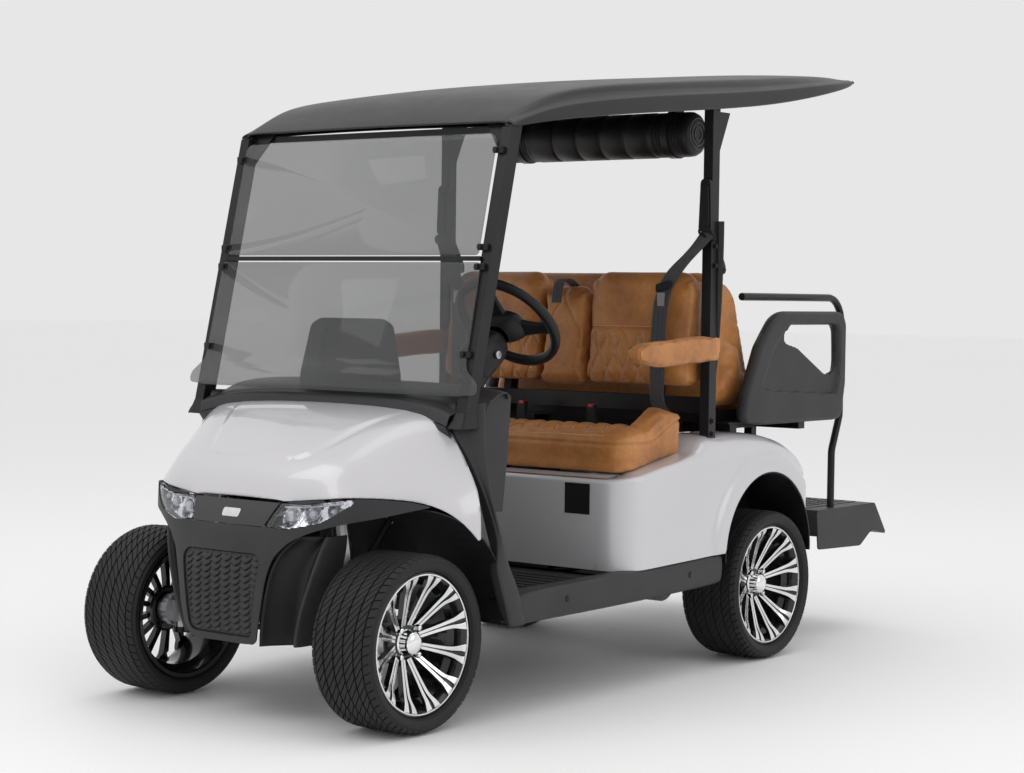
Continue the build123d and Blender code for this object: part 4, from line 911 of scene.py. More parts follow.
def lamps(lamp):
    for sign, side in ((1, "left"), (-1, "right")):
        body = lambda p: lamp(np.abs(p[:, 0]), p[:, 2])
        span = (136, 376) if sign > 0 else (-376, -136)
        points, faces = nose_grid(*span, 530, 620, 5.0, 0.6)
        points, faces = clip(points, faces, body)
        lens = make(f"lamp_lens_{side}", points, faces, LENS, slot="lamp", smooth=60,
                    stands_for=("headlights",) if sign > 0 else ())
        thicken(lens, 1.6, -1.0)
        points, faces = nose_grid(*span, 530, 620, 2.6, 20.0)
        x, _, z = points.T
        u = np.abs(x)
        middle = np.interp(u, (150, 300, 370), (566, 576, 600))
        points[:, 1] += 10.0 - 0.007 * (z - middle) ** 2
        points[:, 1] -= 7.0 * np.abs(((u - 0.5 * (z - 560)) / 34.0) % 1 - 0.5) * smoothstep(215, 245, u)
        for centre, high, radius in ((196, 565, 25), (262, 573, 21), (316, 583, 15)):
            away = np.hypot(u - centre, z - high)
            points[:, 1] += (16.0 - 0.022 * away ** 2) * (1 - smoothstep(radius, radius + 2.5, away))
            points[:, 1] -= 5.0 * np.exp(-((away - radius - 2.5) / 1.8) ** 2)
        points, faces = clip(points, faces, body)
        make(f"lamp_reflector_{side}", points, faces, REFLECTOR, slot="lamp", smooth=30)
        rim = []
        line = rounded_outline(LAMP)
        for a, z in line:
            for back in (1.5, 34.0):
                rim.append((a * sign, float(nose_y(np.array([a]), np.array([z]))[0]) + back, z))
        count = len(line)
        rim_faces = [(2 * i, 2 * i + 1, 2 * ((i + 1) % count) + 1,
                      2 * ((i + 1) % count)) for i in range(count)]
        wall = make(f"lamp_bezel_{side}", rim, rim_faces, GLOSS, slot="gloss_black", smooth=40)
        thicken(wall, 1.2, 0.0)
        for k, (centre, height, size) in enumerate(((196, 565, 15), (262, 573, 12), (316, 583, 8))):
            at = float(nose_y(np.array([centre], float), np.array([height], float))[0])
            bulb, bulb_faces = ring_mesh([(0, 0.4), (2, size * 0.6), (6, size * 0.93), (11, size), (16, size),
                                          (16, 0.4)], 28, False)
            bulb = np.stack([bulb[:, 1] + centre * sign, bulb[:, 0] + at + 13, bulb[:, 2] + height], -1)
            outward(make(f"lamp_bulb_{side}_{k}", bulb, bulb_faces, FROST, slot="lamp", smooth=40))
        slat = [(a * sign, float(nose_y(np.array([a], float), np.array([590.0]))[0]) + 9, z)
                for a, z in ((176, 588), (230, 590), (290, 596), (345, 606))]
        made = tube_mesh(surface(np.array([slat, slat]), 2, 24)[0], 3.0, 8)
        make(f"lamp_light_bar_{side}", *made, FROST, slot="lamp", smooth=60)


# The scoop and the cheek on each side of the grille.  Columns: height, face edge x, scoop floor x and y,
# cheek's front edge x and y, cheek's rear edge x and y.
CHEEK = ((214, 128, 160, -128, 206, -150, 214, -70), (240, 136, 168, -130, 214, -158, 222, -52),
         (300, 149, 184, -134, 233, -166, 240, -46), (380, 163, 203, -136, 260, -160, 266, -44),
         (440, 179, 222, -134, 279, -152, 286, -44), (486, 208, 250, -128, 292, -142, 298, -46),
         (516, 250, 276, -118, 300, -132, 304, -52))


def inner_nose():
    """The scoop beside the nose's face, in black that paints the shade falling in it, and the grey cheek that runs
    back to the wheel.
    """
    scoops, cheeks = [], []
    for sign in (1, -1):
        rows, sides = [], []
        for z, face_x, floor_x, floor_y, edge_x, edge_y, back_x, back_y in CHEEK:
            face_y = float(nose_y(np.array([face_x], float), np.array([z], float))[0])
            rows.append([(face_x * sign, face_y + 3, z), ((face_x + 4) * sign, face_y + 22, z),
                         (floor_x * sign, floor_y - 16, z), ((floor_x + 14) * sign, floor_y + 8, z),
                         ((edge_x - 16) * sign, floor_y + 10, z), ((edge_x - 4) * sign, edge_y + 4, z)])
            fold = 3.0 * (1 if z < 500 else 2)
            sides.append([((edge_x - 7) * sign, edge_y + 16, z), ((edge_x - 4) * sign, edge_y + fold, z),
                          ((edge_x + 3) * sign, edge_y - 2, z), ((edge_x + 9) * sign, edge_y + 8, z),
                          ((0.5 * (edge_x + back_x) + 9) * sign, 0.5 * (edge_y + back_y), z),
                          (back_x * sign, back_y, z)])
        faces = grid_faces(28, 20)
        faces = faces if sign < 0 else [tuple(reversed(f)) for f in faces]
        scoops.append((surface(np.array(rows), 28, 20).reshape(-1, 3), faces))
        cheeks.append((surface(np.array(sides), 28, 20).reshape(-1, 3), faces))
    # Painted shade: the scoop's black plastic stands for the shadow inside the concave band.
    piece = make("nose_scoops", *merge(*scoops), BLACK, slot="black_plastic", smooth=60)
    thicken(piece, 3.0, 0.0)
    piece = make("nose_cheeks", *merge(*cheeks), CHARCOAL, slot="charcoal", smooth=60)
    thicken(piece, 4.0, 0.0)
    bevel(piece, 1.2, 2, 60)


front_end()

# ------------------------------------------------------------------ padded pieces
def solids_of(name):
    """A CAD node's separate solids as (points in layout millimetres, faces), from right to left."""
    made = bmesh.new()
    made.from_mesh(NODES[name].data)
    bmesh.ops.remove_doubles(made, verts=made.verts, dist=0.00003)
    made.verts.index_update()
    seen, found = set(), []
    for first in made.verts:
        if first in seen:
            continue
        reached, ahead = set(), [first]
        while ahead:
            v = ahead.pop()
            if v in reached:
                continue
            reached.add(v)
            ahead += [e.other_vert(v) for e in v.link_edges if e.other_vert(v) not in reached]
        seen |= reached
        # Sorted, because a set's own order differs from run to run.
        order = {v: i for i, v in enumerate(sorted(reached, key=lambda v: v.index))}
        points = np.array([tuple(v.co) for v in order]) / MM - SHIFT
        faces = [tuple(order[v] for v in f.verts) for f in made.faces if f.verts[0] in order]
        found.append((points, faces))
    made.free()
    return sorted(found, key=lambda item: item[0][:, 0].mean())


def places(mesh, field="co"):
    """A mesh's vertices in layout millimetres, or their normals."""
    data = np.zeros(len(mesh.vertices) * 3)
    if field == "normal":
        mesh.vertex_normals.foreach_get("vector", data)
        return data.reshape(-1, 3)
    mesh.vertices.foreach_get("co", data)
    return data.reshape(-1, 3) / MM - SHIFT


def put(mesh, points):
    mesh.vertices.foreach_set("co", ((points + SHIFT) * MM).ravel())
    mesh.update()


def baked(piece):
    """Replaces a piece's mesh by what its modifiers make of it."""
    bpy.context.view_layer.update()
    made = bpy.data.meshes.new_from_object(piece.evaluated_get(bpy.context.evaluated_depsgraph_get()))
    piece.modifiers.clear()
    piece.data = made
    return made


def rounded_corners(p, across, top, low):
    """Rounds a pad's corners as seen along y: across is its x range, top both top corners' radii."""
    p = p.copy()
    x, z = p[:, 0], p[:, 2]
    z_low, z_high = z.min(), z.max()
    for end, inward in ((across[0], 1), (across[1], -1)):
        for high, radius in ((z_high, top[0] if inward > 0 else top[1]), (z_low, low)):
            u = radius - (x - end) * inward
            v = radius - np.abs(high - z)
            near = (u > 0) & (v > 0)
            length = np.maximum(np.hypot(u, v), 1e-6)
            factor = np.where(near, np.maximum(u, v) / length, 1.0)
            x = np.where(near, end + inward * (radius - u * factor), x)
            z = np.where(near, high + np.sign(z_low + z_high - 2 * high) * (radius - v * factor), z)
    p[:, 0], p[:, 2] = x, z
    return p


def stuffed(name, points, faces, body, rest=None, voxel=9.0, shrink=(4.0, 5.0, 4.0), swell=12.0, soften=5,
            stands_for=(), detail=None, shape=None):
    """A stuffed piece: a smaller start shape, blown up as cloth, then sewn by detail(points, normals)."""
    middle = (points.max(0) + points.min(0)) / 2
    size = points.max(0) - points.min(0)
    small = middle + (points - middle) * (1 - 2 * np.array(shrink) / size)
    piece = make(name, small, faces, LEATHER, body=None, smooth=0)
    remesh = piece.modifiers.new("remesh", "REMESH")
    remesh.mode, remesh.voxel_size = "VOXEL", voxel * MM
    ease = piece.modifiers.new("ease", "SMOOTH")
    ease.factor, ease.iterations = 0.5, soften
    mesh = baked(piece)
    before = places(mesh)
    if shape:
        before = shape(before)
        put(mesh, before)
    cloth = piece.modifiers.new("cloth", "CLOTH")
    cloth.settings.use_pressure = True
    cloth.settings.uniform_pressure_force = 4.0
    cloth.settings.effector_weights.gravity = 0.0
    cloth.settings.tension_stiffness = cloth.settings.compression_stiffness = 15.0
    cloth.settings.quality = 4
    scene = bpy.context.scene
    for number in range(1, 21):
        scene.frame_set(number)
    blown = bpy.data.meshes.new_from_object(piece.evaluated_get(bpy.context.evaluated_depsgraph_get()))
    moved = places(blown) - before
    bpy.data.meshes.remove(blown)
    piece.modifiers.clear()
    scene.frame_set(1)
    reach = np.linalg.norm(moved, axis=1, keepdims=True)
    moved *= np.minimum(1.0, swell / np.maximum(reach, 1e-6))
    if rest is not None:
        moved *= rest(before)[:, None]
    put(mesh, before + moved)
    finer = piece.modifiers.new("finer", "SUBSURF")
    finer.levels = finer.render_levels = 1
    mesh = baked(piece)
    if detail:
        put(mesh, places(mesh)
            + detail(places(mesh), places(mesh, "normal"))[:, None] * places(mesh, "normal"))
    mesh.polygons.foreach_set("use_smooth", [True] * len(mesh.polygons))
    mesh.materials.clear()
    mesh.materials.append(LEATHER)
    settle(piece, body, stands_for)
    return piece


def groove(distance, width=4.5):
    return np.exp(-(distance / width) ** 2)


def quilting(u, v, wide, tall, region):
    """Diamond channels: how far the surface moves at u, v, inside a soft-edged region from 0 to 1."""
    a, b = u / wide + v / tall, u / wide - v / tall
    near = np.minimum(np.abs((a + 0.5) % 1 - 0.5), np.abs((b + 0.5) % 1 - 0.5)) * min(wide, tall) * 0.9
    puff = np.sqrt(np.abs(np.sin(math.pi * a) * np.sin(math.pi * b)))
    return region * (5.2 * puff - 1.8 - 4.4 * groove(near, 3.6))


def inside_box(u, v, low_u, high_u, low_v, high_v, soft=10.0):
    return (smoothstep(low_u - soft, low_u + soft, u) * smoothstep(high_u + soft, high_u - soft, u)
            * smoothstep(low_v - soft, low_v + soft, v) * smoothstep(high_v + soft, high_v - soft, v))


def stitches(name, piece, paths, direction, body, material=None, length=8.0, gap=3.0, radius=1.1):
    """Short threads laid on a piece along paths that are cast onto it in one direction."""
    tree = BVHTree.FromObject(piece, bpy.context.evaluated_depsgraph_get())
    aim = Vector(direction)
    meshes = []
    for path in paths:
        path = np.asarray(path, float)
        steps = np.concatenate([[0], np.cumsum(np.linalg.norm(np.diff(path, axis=0), axis=1))])
        at = 0.0
        while at + length < steps[-1]:
            ends = []
            for where in (at, at + length / 2, at + length):
                start = np.array([np.interp(where, steps, path[:, k]) for k in range(3)])
                hit = tree.ray_cast(P(*start) - aim * 0.4, aim, 0.9)[0]
                if hit is None:
                    break
                ends.append(np.array(hit) / MM - SHIFT - np.array(direction) * 0.5)
            if len(ends) == 3:
                meshes.append(tube_mesh(np.array(ends), radius, 5))
            at += length + gap
    if meshes:
        make(name, *merge(*meshes), material or THREAD, body=body, slot="leather", smooth=60)


def diamonds(low_u, high_u, low_v, high_v, wide, tall):
    """The quilting's stitch lines inside a box, as pairs of (u, v) points."""
    lines = []
    for lean in (1, -1):
        for k in range(-60, 61):
            # On the line u / wide + lean * v / tall = k.
            ends = []
            for v in np.linspace(low_v, high_v, 40):
                u = wide * (k - lean * v / tall)
                if low_u <= u <= high_u:
                    ends.append((u, v))
            if len(ends) > 2:
                lines.append(ends)
    return lines


def front_seat():
    (points, faces), = solids_of("seat_cushion")
    low = points[:, 2].min()
    rise = lambda y: 722 + 62 * smoothstep(1040, 1215, y)

    def sewn(p, n):
        x, y, z = p.T
        wall = smoothstep(0.75, 0.35, np.abs(n[:, 2]))
        top = smoothstep(0.55, 0.85, n[:, 2])
        moved = -4.2 * groove(z - rise(y)) * wall + 1.8 * groove(z - rise(y) - 9, 5.0) * wall
        region = inside_box(np.abs(x), y, 22, 432, 948, 1212) * top
        moved += quilting(x, y - 940, 62.0, 110.0, region)
        edge = np.minimum(np.abs(np.abs(x) - 446), np.abs(y - 934) + 1e3 * (np.abs(x) > 446))
        moved -= 3.6 * groove(edge) * top * (z < 775) + 3.2 * groove(x, 5.0) * top
        return moved

    flat = lambda p: smoothstep(low + 2, low + 40, p[:, 2])
    piece = stuffed("cushion_front", points, faces, "front_seat", flat, swell=14.0,
                    stands_for=("seat_cushion",), detail=sewn)
    paths = [[(x, y + 940, 900) for x, y in line] for line in diamonds(28, 428, 10, 270, 62.0, 110.0)]
    paths += [[(-x, y, z) for x, y, z in path] for path in paths]
    paths += [[(x, 934, 900) for x in np.linspace(-440, 440, 30)]]
    stitches("cushion_front_thread", piece, paths, (0, 0, -1), "front_seat")

    for (points, faces), side in zip(solids_of("seat_back"), ("right", "middle", "left")):
        sign = {"right": -1, "middle": 0, "left": 1}[side]

        def sewn(p, n, sign=sign):
            x, y, z = p.T
            x = x * (sign or 1)
            face = smoothstep(0.35, 0.75, -n[:, 1])
            rear = smoothstep(0.35, 0.75, n[:, 1])
            edge = smoothstep(0.8, 0.4, np.abs(n[:, 1]))
            middle_y = REAR - 328 + (z - 870) * 0.05
            moved = -3.6 * groove(y - middle_y - 22) * edge
            if sign:
                seam = 1064 + 40 * smoothstep(330, 420, x) ** 2
                moved += quilting(x - 95, z - 870, 60.0, 118.0, inside_box(x, z, 100, 352, 880, 1050) * face)
                moved -= 5.0 * groove(z - seam, 5.0) * face * (x < 400)
                moved -= 4.4 * groove(x - 362 - 34 * smoothstep(1000, 1064, z), 5.0) * face * (z < seam + 4)
                moved += 9.0 * inside_box(x, z, 392, 480, 900, 1075, 30) * face
                moved += 5.0 * inside_box(x, z, 130, 460, 1110, 1215, 40) * face
            else:
                moved -= 4.0 * groove(np.abs(x) - 62 * smoothstep(1180, 1040, z) - 2, 4.5) * face * (z > 1000)
                moved -= 3.5 * groove(z - 1000, 4.5) * face * (np.abs(x) > 64)
            return moved + 1.5 * groove(y - middle_y - 30, 4.0) * edge - 1.0 * rear

        def shape(p, sign=sign):
            ends = (p[:, 0].min(), p[:, 0].max())
            top = {1: (58, 78), -1: (78, 58), 0: (44, 44)}[sign]
            return rounded_corners(p, ends, top, 30 if sign else 12)

        piece = stuffed(f"back_front_{side}", points, faces, "chassis", None,
                        swell=11.0 if sign else 8.0, shrink=(5.0, 6.0, 5.0)
                        if sign else (4.0, 8.0, 4.0), stands_for=("seat_back",) if sign < 0 else (),
                        detail=sewn, shape=shape)
        if sign:
            paths = [[(sign * (u + 95), 1000, v + 870) for u, v in line]
                     for line in diamonds(10, 254, 14, 178, 60.0, 118.0)]
            paths.append([(sign * x, 1000,
                           1064 + 5 + 40 * smoothstep(330, 420, x) ** 2) for x in np.linspace(100, 400, 30)])
            stitches(f"back_front_{side}_thread", piece, paths, (0, 1, 0), "chassis")

    for (points, faces), side in zip(solids_of("armrests"), ("right", "left")):
        sign = 1 if side == "left" else -1

        def sewn(p, n, sign=sign):
            x = p[:, 0] * sign
            around = smoothstep(0.9, 0.5, np.abs(n[:, 0]))
            return (-2.6 * groove(x - 515, 3.5) - 2.6 * groove(x - 556, 3.5) + 1.2 * groove(x - 510, 3.0)
                    + 1.2 * groove(x - 561, 3.0)) * around

        stuffed(f"armrest_{side}", points, faces, "chassis", None, voxel=7.0, swell=6.0, shrink=(3.5, 4.0, 3.5),
                stands_for=("armrests",) if sign < 0 else (), detail=sewn)


def rear_seat():
    (points, faces), = solids_of("rear_seat_cushion")
    base = points[:, 2].min()

    def sewn(p, n):
        x, y, z = p.T
        wall = smoothstep(0.75, 0.35, np.abs(n[:, 2]))
        top = smoothstep(0.55, 0.85, n[:, 2])
        moved = -4.0 * groove(z - base - 62) * wall + 1.6 * groove(z - base - 70, 5.0) * wall
        moved += quilting(x, y - REAR, 62.0, 110.0, inside_box(np.abs(x), y - REAR, 24, 372, 130, 490) * top)
        return moved - 3.4 * groove(np.abs(x) - 388) * top - 3.0 * groove(x, 5.0) * top

    flat = lambda p: smoothstep(base + 2, base + 36, p[:, 2])
    piece = stuffed("cushion_rear", points, faces, "rear_seat", flat, swell=12.0,
                    stands_for=("rear_seat_cushion",), detail=sewn)
    paths = [[(x, y + REAR, 1000) for x, y in line] for line in diamonds(30, 368, 140, 480, 62.0, 110.0)]
    paths += [[(-x, y, z) for x, y, z in path] for path in paths]
    stitches("cushion_rear_thread", piece, paths, (0, 0, -1), "rear_seat")

    (points, faces), = solids_of("rear_seat_back")

    def sewn(p, n):
        x, y, z = p.T
        face = smoothstep(0.35, 0.75, n[:, 1])
        edge = smoothstep(0.8, 0.4, np.abs(n[:, 1]))
        moved = quilting(x, z - 840, 60.0, 118.0, inside_box(np.abs(x), z, 24, 360, 850, 1060) * face)
        moved -= 4.6 * groove(z - 1076, 5.0) * face + 4.0 * groove(np.abs(x) - 372, 5.0) * face * (z < 1080)
        moved += 5.0 * inside_box(np.abs(x), z, 60, 400, 1115, 1205, 40) * face
        return moved - 3.4 * groove(x, 5.0) * face - 3.0 * groove(y - REAR + 2, 4.5) * edge

    piece = stuffed("back_rear", points, faces, "chassis", None, swell=12.0, shrink=(5.0, 6.0, 5.0),
                    stands_for=("rear_seat_back",), detail=sewn,
                    shape=lambda p: rounded_corners(p, (p[:, 0].min(), p[:, 0].max()), (110, 110), 34))
    paths = [[(x, REAR + 200, v + 840) for x, v in line] for line in diamonds(30, 355, 14, 216, 60.0, 118.0)]
    paths += [[(-x, y, z) for x, y, z in path] for path in paths]
    stitches("back_rear_thread", piece, paths, (0, -1, 0), "chassis")


front_seat()
rear_seat()


# ------------------------------------------------------------------ dash, trims and sills
# Rows from the ground up: z, then the trim's front edge x and y, and its rear edge x and y.
TRIM = ((256, 585, 300, 585, 366), (300, 585, 286, 585, 356), (350, 584, 268, 585, 340),
        (400, 582, 250, 584, 309),
        (430, 580, 244, 583, 293), (490, 577, 261, 581, 269), (575, 564, 236, 576, 244),
        (640, 552, 214, 571, 224),
        (700, 526, 204, 563, 218), (742, 507, 194, 552, 226), (790, 480, 178, 540, 240),
        (830, 470, 180, 530, 250),
        (868, 470, 196, 522, 262))
# The cowl's height along y at the cart's middle, and how far it falls towards the side.
COWL_LINE = ((150, 836), (180, 846), (193, 853), (198, 866), (212, 876), (240, 889), (285, 903), (330, 909),
             (400, 908))
COWL_FALL = ((0, 0), (200, 2), (330, 9), (420, 22), (480, 40), (540, 72))


def cowl_z(x, y):
    fall = smooth_curve(COWL_FALL, np.abs(x)) * (1 - 0.55 * smoothstep(220, 380, y))
    return smooth_curve(COWL_LINE,
                        y + 193 - hood_rear_y(x) * smoothstep(260, 200, y) - 193 * smoothstep(200, 260, y)) - fall


def trims():
    rows = []
    for z, front_x, front_y, rear_x, rear_y in TRIM:
        rows.append([(front_x - 34, front_y + 12, z), (front_x - 4, front_y + 2, z),
                     (front_x, front_y + 1, z),
                     (front_x + 2, front_y + 6, z),
                     (0.5 * (front_x + rear_x) + 3, 0.5 * (front_y + rear_y), z),
                     (rear_x, rear_y - 3, z), (rear_x - 2, rear_y, z), (rear_x - 30, rear_y + 8, z),
                     (rear_x - 60, rear_y + 14, z)])
    grid = surface(np.array(rows), 90, 30).reshape(-1, 3)
    piece = make("side_trims", *mirror_x(grid, [tuple(reversed(f)) for f in grid_faces(90, 30)]), CHARCOAL,
                 slot="charcoal", smooth=50, stands_for=("side_sills",))
    thicken(piece, 3.0, -1.0)
    # The sills: a rounded beam from the front wheel to the rear one.
    sections = []
    for y, low, high in ((318, 256, 322), (345, 254, 344), (420, 254, 351), (850, 257, 354), (1200, 264, 362),
                         (1352, 269, 367),
                         (1365, 272, 364)):
        inner, outer = 524, 588
        sections.append([(inner, y, low + 4), (outer - 22, y, low), (outer - 5, y, low + 5),
                         (outer - 1, y, low + 26),
                         (outer + 1, y, 0.5 * (low + high)), (outer, y, high - 16), (outer - 4, y, high - 3),
                         (outer - 16, y, high), (inner + 10, y, high), (inner, y, high - 6)])
    grid = surface(np.array(sections), 60, 40, closed_along=True).reshape(-1, 3)
    faces = grid_faces(60, 40, False, True) + [tuple(reversed(range(40))), tuple(range(59 * 40, 60 * 40))]
    sill = make("sills_seen", *mirror_x(grid, faces), CHARCOAL, slot="charcoal", smooth=50)
    outward(sill)
    dots = []
    for y, z in ((1188, 318), (560, 309)):
        cap, cap_faces = ring_mesh([(0, 11), (2.2, 10.6), (3.0, 9), (3.2, 0.4)], 20, False)
        dots.append((cap + np.array([587.5, y, z]), cap_faces))
    outward(make("sill_fasteners", *mirror_x(*merge(*dots)), BLACK, slot="black_plastic"))


def dash():
    (main, main_faces), (shelf, shelf_faces) = sorted(solids_of("dashboard"),
                                                      key=lambda item: -np.ptp(item[0][:, 0]))

    def outside(p):
        x, y, z = p.T
        return np.maximum(z - cowl_z(x, y) + 5, np.abs(x) - 476 - 0.25 * np.clip(y - 200, 0, 100))

    main, main_faces = clip(main, main_faces, outside)
    piece = make("dash_body", *merge((main, main_faces), (shelf, shelf_faces)), CHARCOAL, slot="charcoal",
                 smooth=30,
                 stands_for=("dashboard",))
    bevel(piece, 1.0, 2, 40)
    xs = np.linspace(-541, 541, 150)
    shares = np.linspace(0, 1, 60) ** 1.5
    grid = []
    for x in xs:
        front = float(hood_rear_y(np.array(x))) - 4
        for share in shares:
            y = front + share * (402 - front)
            drop = 7.0 * (1 - smoothstep(0, 0.02, share)) + 16.0 * smoothstep(0.965, 1.0, share) ** 2
            grid.append((x, y, float(cowl_z(np.array(x), np.array(y))) - drop))

    def beyond(p):
        x, y, _ = p.T
        rear_x = np.interp(y, (150, 180, 196, 262, 300, 410), (474, 482, 492, 524, 512, 488))
        return np.abs(x) - rear_x

    points, faces = clip(grid, [tuple(reversed(f)) for f in grid_faces(150, 60)], beyond)
    cowl = make("dash_cowl", points, [tuple(reversed(f)) for f in faces], CHARCOAL, slot="charcoal",
                smooth=50)
    thicken(cowl, 4.0, -1.0)
    vents = []
    for x_low, x_high, y_low, y_high in ((214, 268, 352, 380), (284, 352, 356, 384)):
        for k in range(4):
            y = y_low + (y_high - y_low) * (k + 0.5) / 4
            z = float(cowl_z(np.array(0.5 * (x_low + x_high)), np.array(y)))
            vents.append(box_mesh((x_low, x_high), (y - 2.4, y + 2.4), (z - 3, z + 1.2)))
    outward(make("dash_vents", *mirror_x(*merge(*vents)), BLACK, slot="black_plastic", smooth=0))


def pillar_y(z):
    return 147.0 + (z - 620.0) / 1040.0 * 246.0


def windshield():
    meshes = []
    for outline in (((-484, 886, 24), (484, 886, 24), (552, 892, 20), (548, 922, 30), (500, 962, 40),
                     (496, 1250, 12),
                     (-496, 1250, 12), (-500, 962, 40), (-548, 922, 30), (-552, 892, 20)),
                    ((-482, 1270, 12), (482, 1270, 12), (482, 1604, 22), (-482, 1604, 22))):
        line = rounded_outline(outline)
        points = [(x, pillar_y(z) - 29.0, z) for x, z in line]
        meshes.append((points, [tuple(range(len(points)))]))
    piece = make("windshield_panes", *merge(*meshes), GLASS, slot="tinted_glass", smooth=0,
                 stands_for=("windshield",))
    thicken(piece, 4.6, 0.0)
    bars = [box_mesh((-492, 492), (pillar_y(1260) - 33, pillar_y(1260) - 24), (1254, 1267))]
    for z in (1000, 1238, 1292, 1560):
        for sign in (1, -1):
            y = pillar_y(z) - 36
            x = sorted((478 * sign, 512 * sign))
            bars.append(box_mesh(x, (y, y + 16), (z - 9, z + 9)))
            knob, knob_faces = ring_mesh([(0, 0.4), (1, 7), (7, 7.6), (8, 0.4)], 16, False)
            knob = np.stack([knob[:, 1] + 489 * sign, -knob[:, 0] + y, knob[:, 2] + z], -1)
            bars.append((knob, knob_faces))
    piece = outward(make("windshield_fittings", *merge(*bars), BLACK, slot="black_plastic", smooth=30,
                         stands_for=("windshield_bar",)))
    bevel(piece, 2.0, 2, 40)


# Columns: y, half width, base, top of the side, shoulder x, shoulder z, crown z.
ROOF_FORM = ((366, 524, 1624, 1632, 498, 1638, 1643), (392, 528, 1628, 1643, 500, 1656, 1661),
             (480, 540, 1644, 1673, 508, 1701, 1711), (600, 553, 1663, 1704, 518, 1747, 1763),
             (960, 569, 1706, 1754, 526, 1796, 1820),
             (1605, 575, 1768, 1816, 526, 1859, 1886), (2050, 567, 1850, 1880, 506, 1911, 1935),
             (2250, 530, 1892, 1904, 468, 1920, 1940), (2288, 500, 1906, 1911, 440, 1919, 1937))


def roof():
    rows = []
    for y, half, base, side, shoulder_x, shoulder_z, crown in ROOF_FORM:
        fall = crown - shoulder_z
        line = [(0, crown), (0.4 * shoulder_x, crown - 0.05 * fall), (0.75 * shoulder_x, crown - 0.45 * fall),
                (shoulder_x - 10, shoulder_z + 3), (shoulder_x + 4, shoulder_z - 2), (half - 22, side + 9),
                (half - 4, side + 3), (half, side - 3), (half + 1, base + 7), (half - 1, base),
                (half - 10, base - 1),
                (half - 26, base + 2), (half - 30, base + 8)]
        rows.append([(-x, y, z) for x, z in reversed(line[1:])] + [(x, y, z) for x, z in line])
    down, along = 130, 220
    points = surface(np.array(rows), down, along).reshape(-1, 3)
    x, y, z = points.T
    up = smoothstep(0.0, 30.0, z - np.interp(y, [r[0] for r in ROOF_FORM], [r[3] for r in ROOF_FORM]))
    for at, deep in ((300, 3.5), (-300, 3.5), (0, 2.5)):
        points[:, 2] -= deep * groove(x - at, 12.0) * up * smoothstep(620, 760, y) * smoothstep(2200, 2050, y)
    edge = np.interp(y, [r[0] for r in ROOF_FORM], [r[1] for r in ROOF_FORM]) - np.abs(x)
    points[:, 2] -= 3.0 * groove(edge - 30, 6.0) * up
    piece = make("roof_shell", points, grid_faces(down, along), ROOF, slot="charcoal", smooth=60,
                 stands_for=("roof",))
    thicken(piece, 5.0, -1.0)
    rows = [[(x * half / 500, y, z - 14 - 8 * (abs(x) / 500.0) ** 2) for x in np.linspace(-470, 470, 9)]
            for y, half, z in ((400, 500, 1650), (600, 516, 1716), (960, 522, 1772), (1605, 522, 1836), (2050, 506, 1892),
                               (2240, 470, 1914))]
    liner = make("headliner", surface(np.array(rows), 50, 40).reshape(-1, 3), grid_faces(50, 40), BLACK,
                 slot="black_plastic", smooth=60)
    thicken(liner, 3.0, 0.0)


# The rear body's plan: x, y and corner radius, and along y: the height of its top and the radius of its upper edge.
BODY_PLAN = ((0, 850, 0), (585, 850, 105), (585, 1915, 70), (0, 1915, 0))
BODY_TOP = ((850, 621, 14), (1000, 646, 18), (1180, 676, 24), (1236, 690, 40), (1290, 722, 60),
            (1420, 732, 74), (1560, 731, 78),
            (1700, 716, 78), (1800, 686, 70), (1870, 640, 60), (1915, 590, 40))
WELL_Y, WELL_Z, WELL_R = REAR - 30.0, 348.0, 258.0


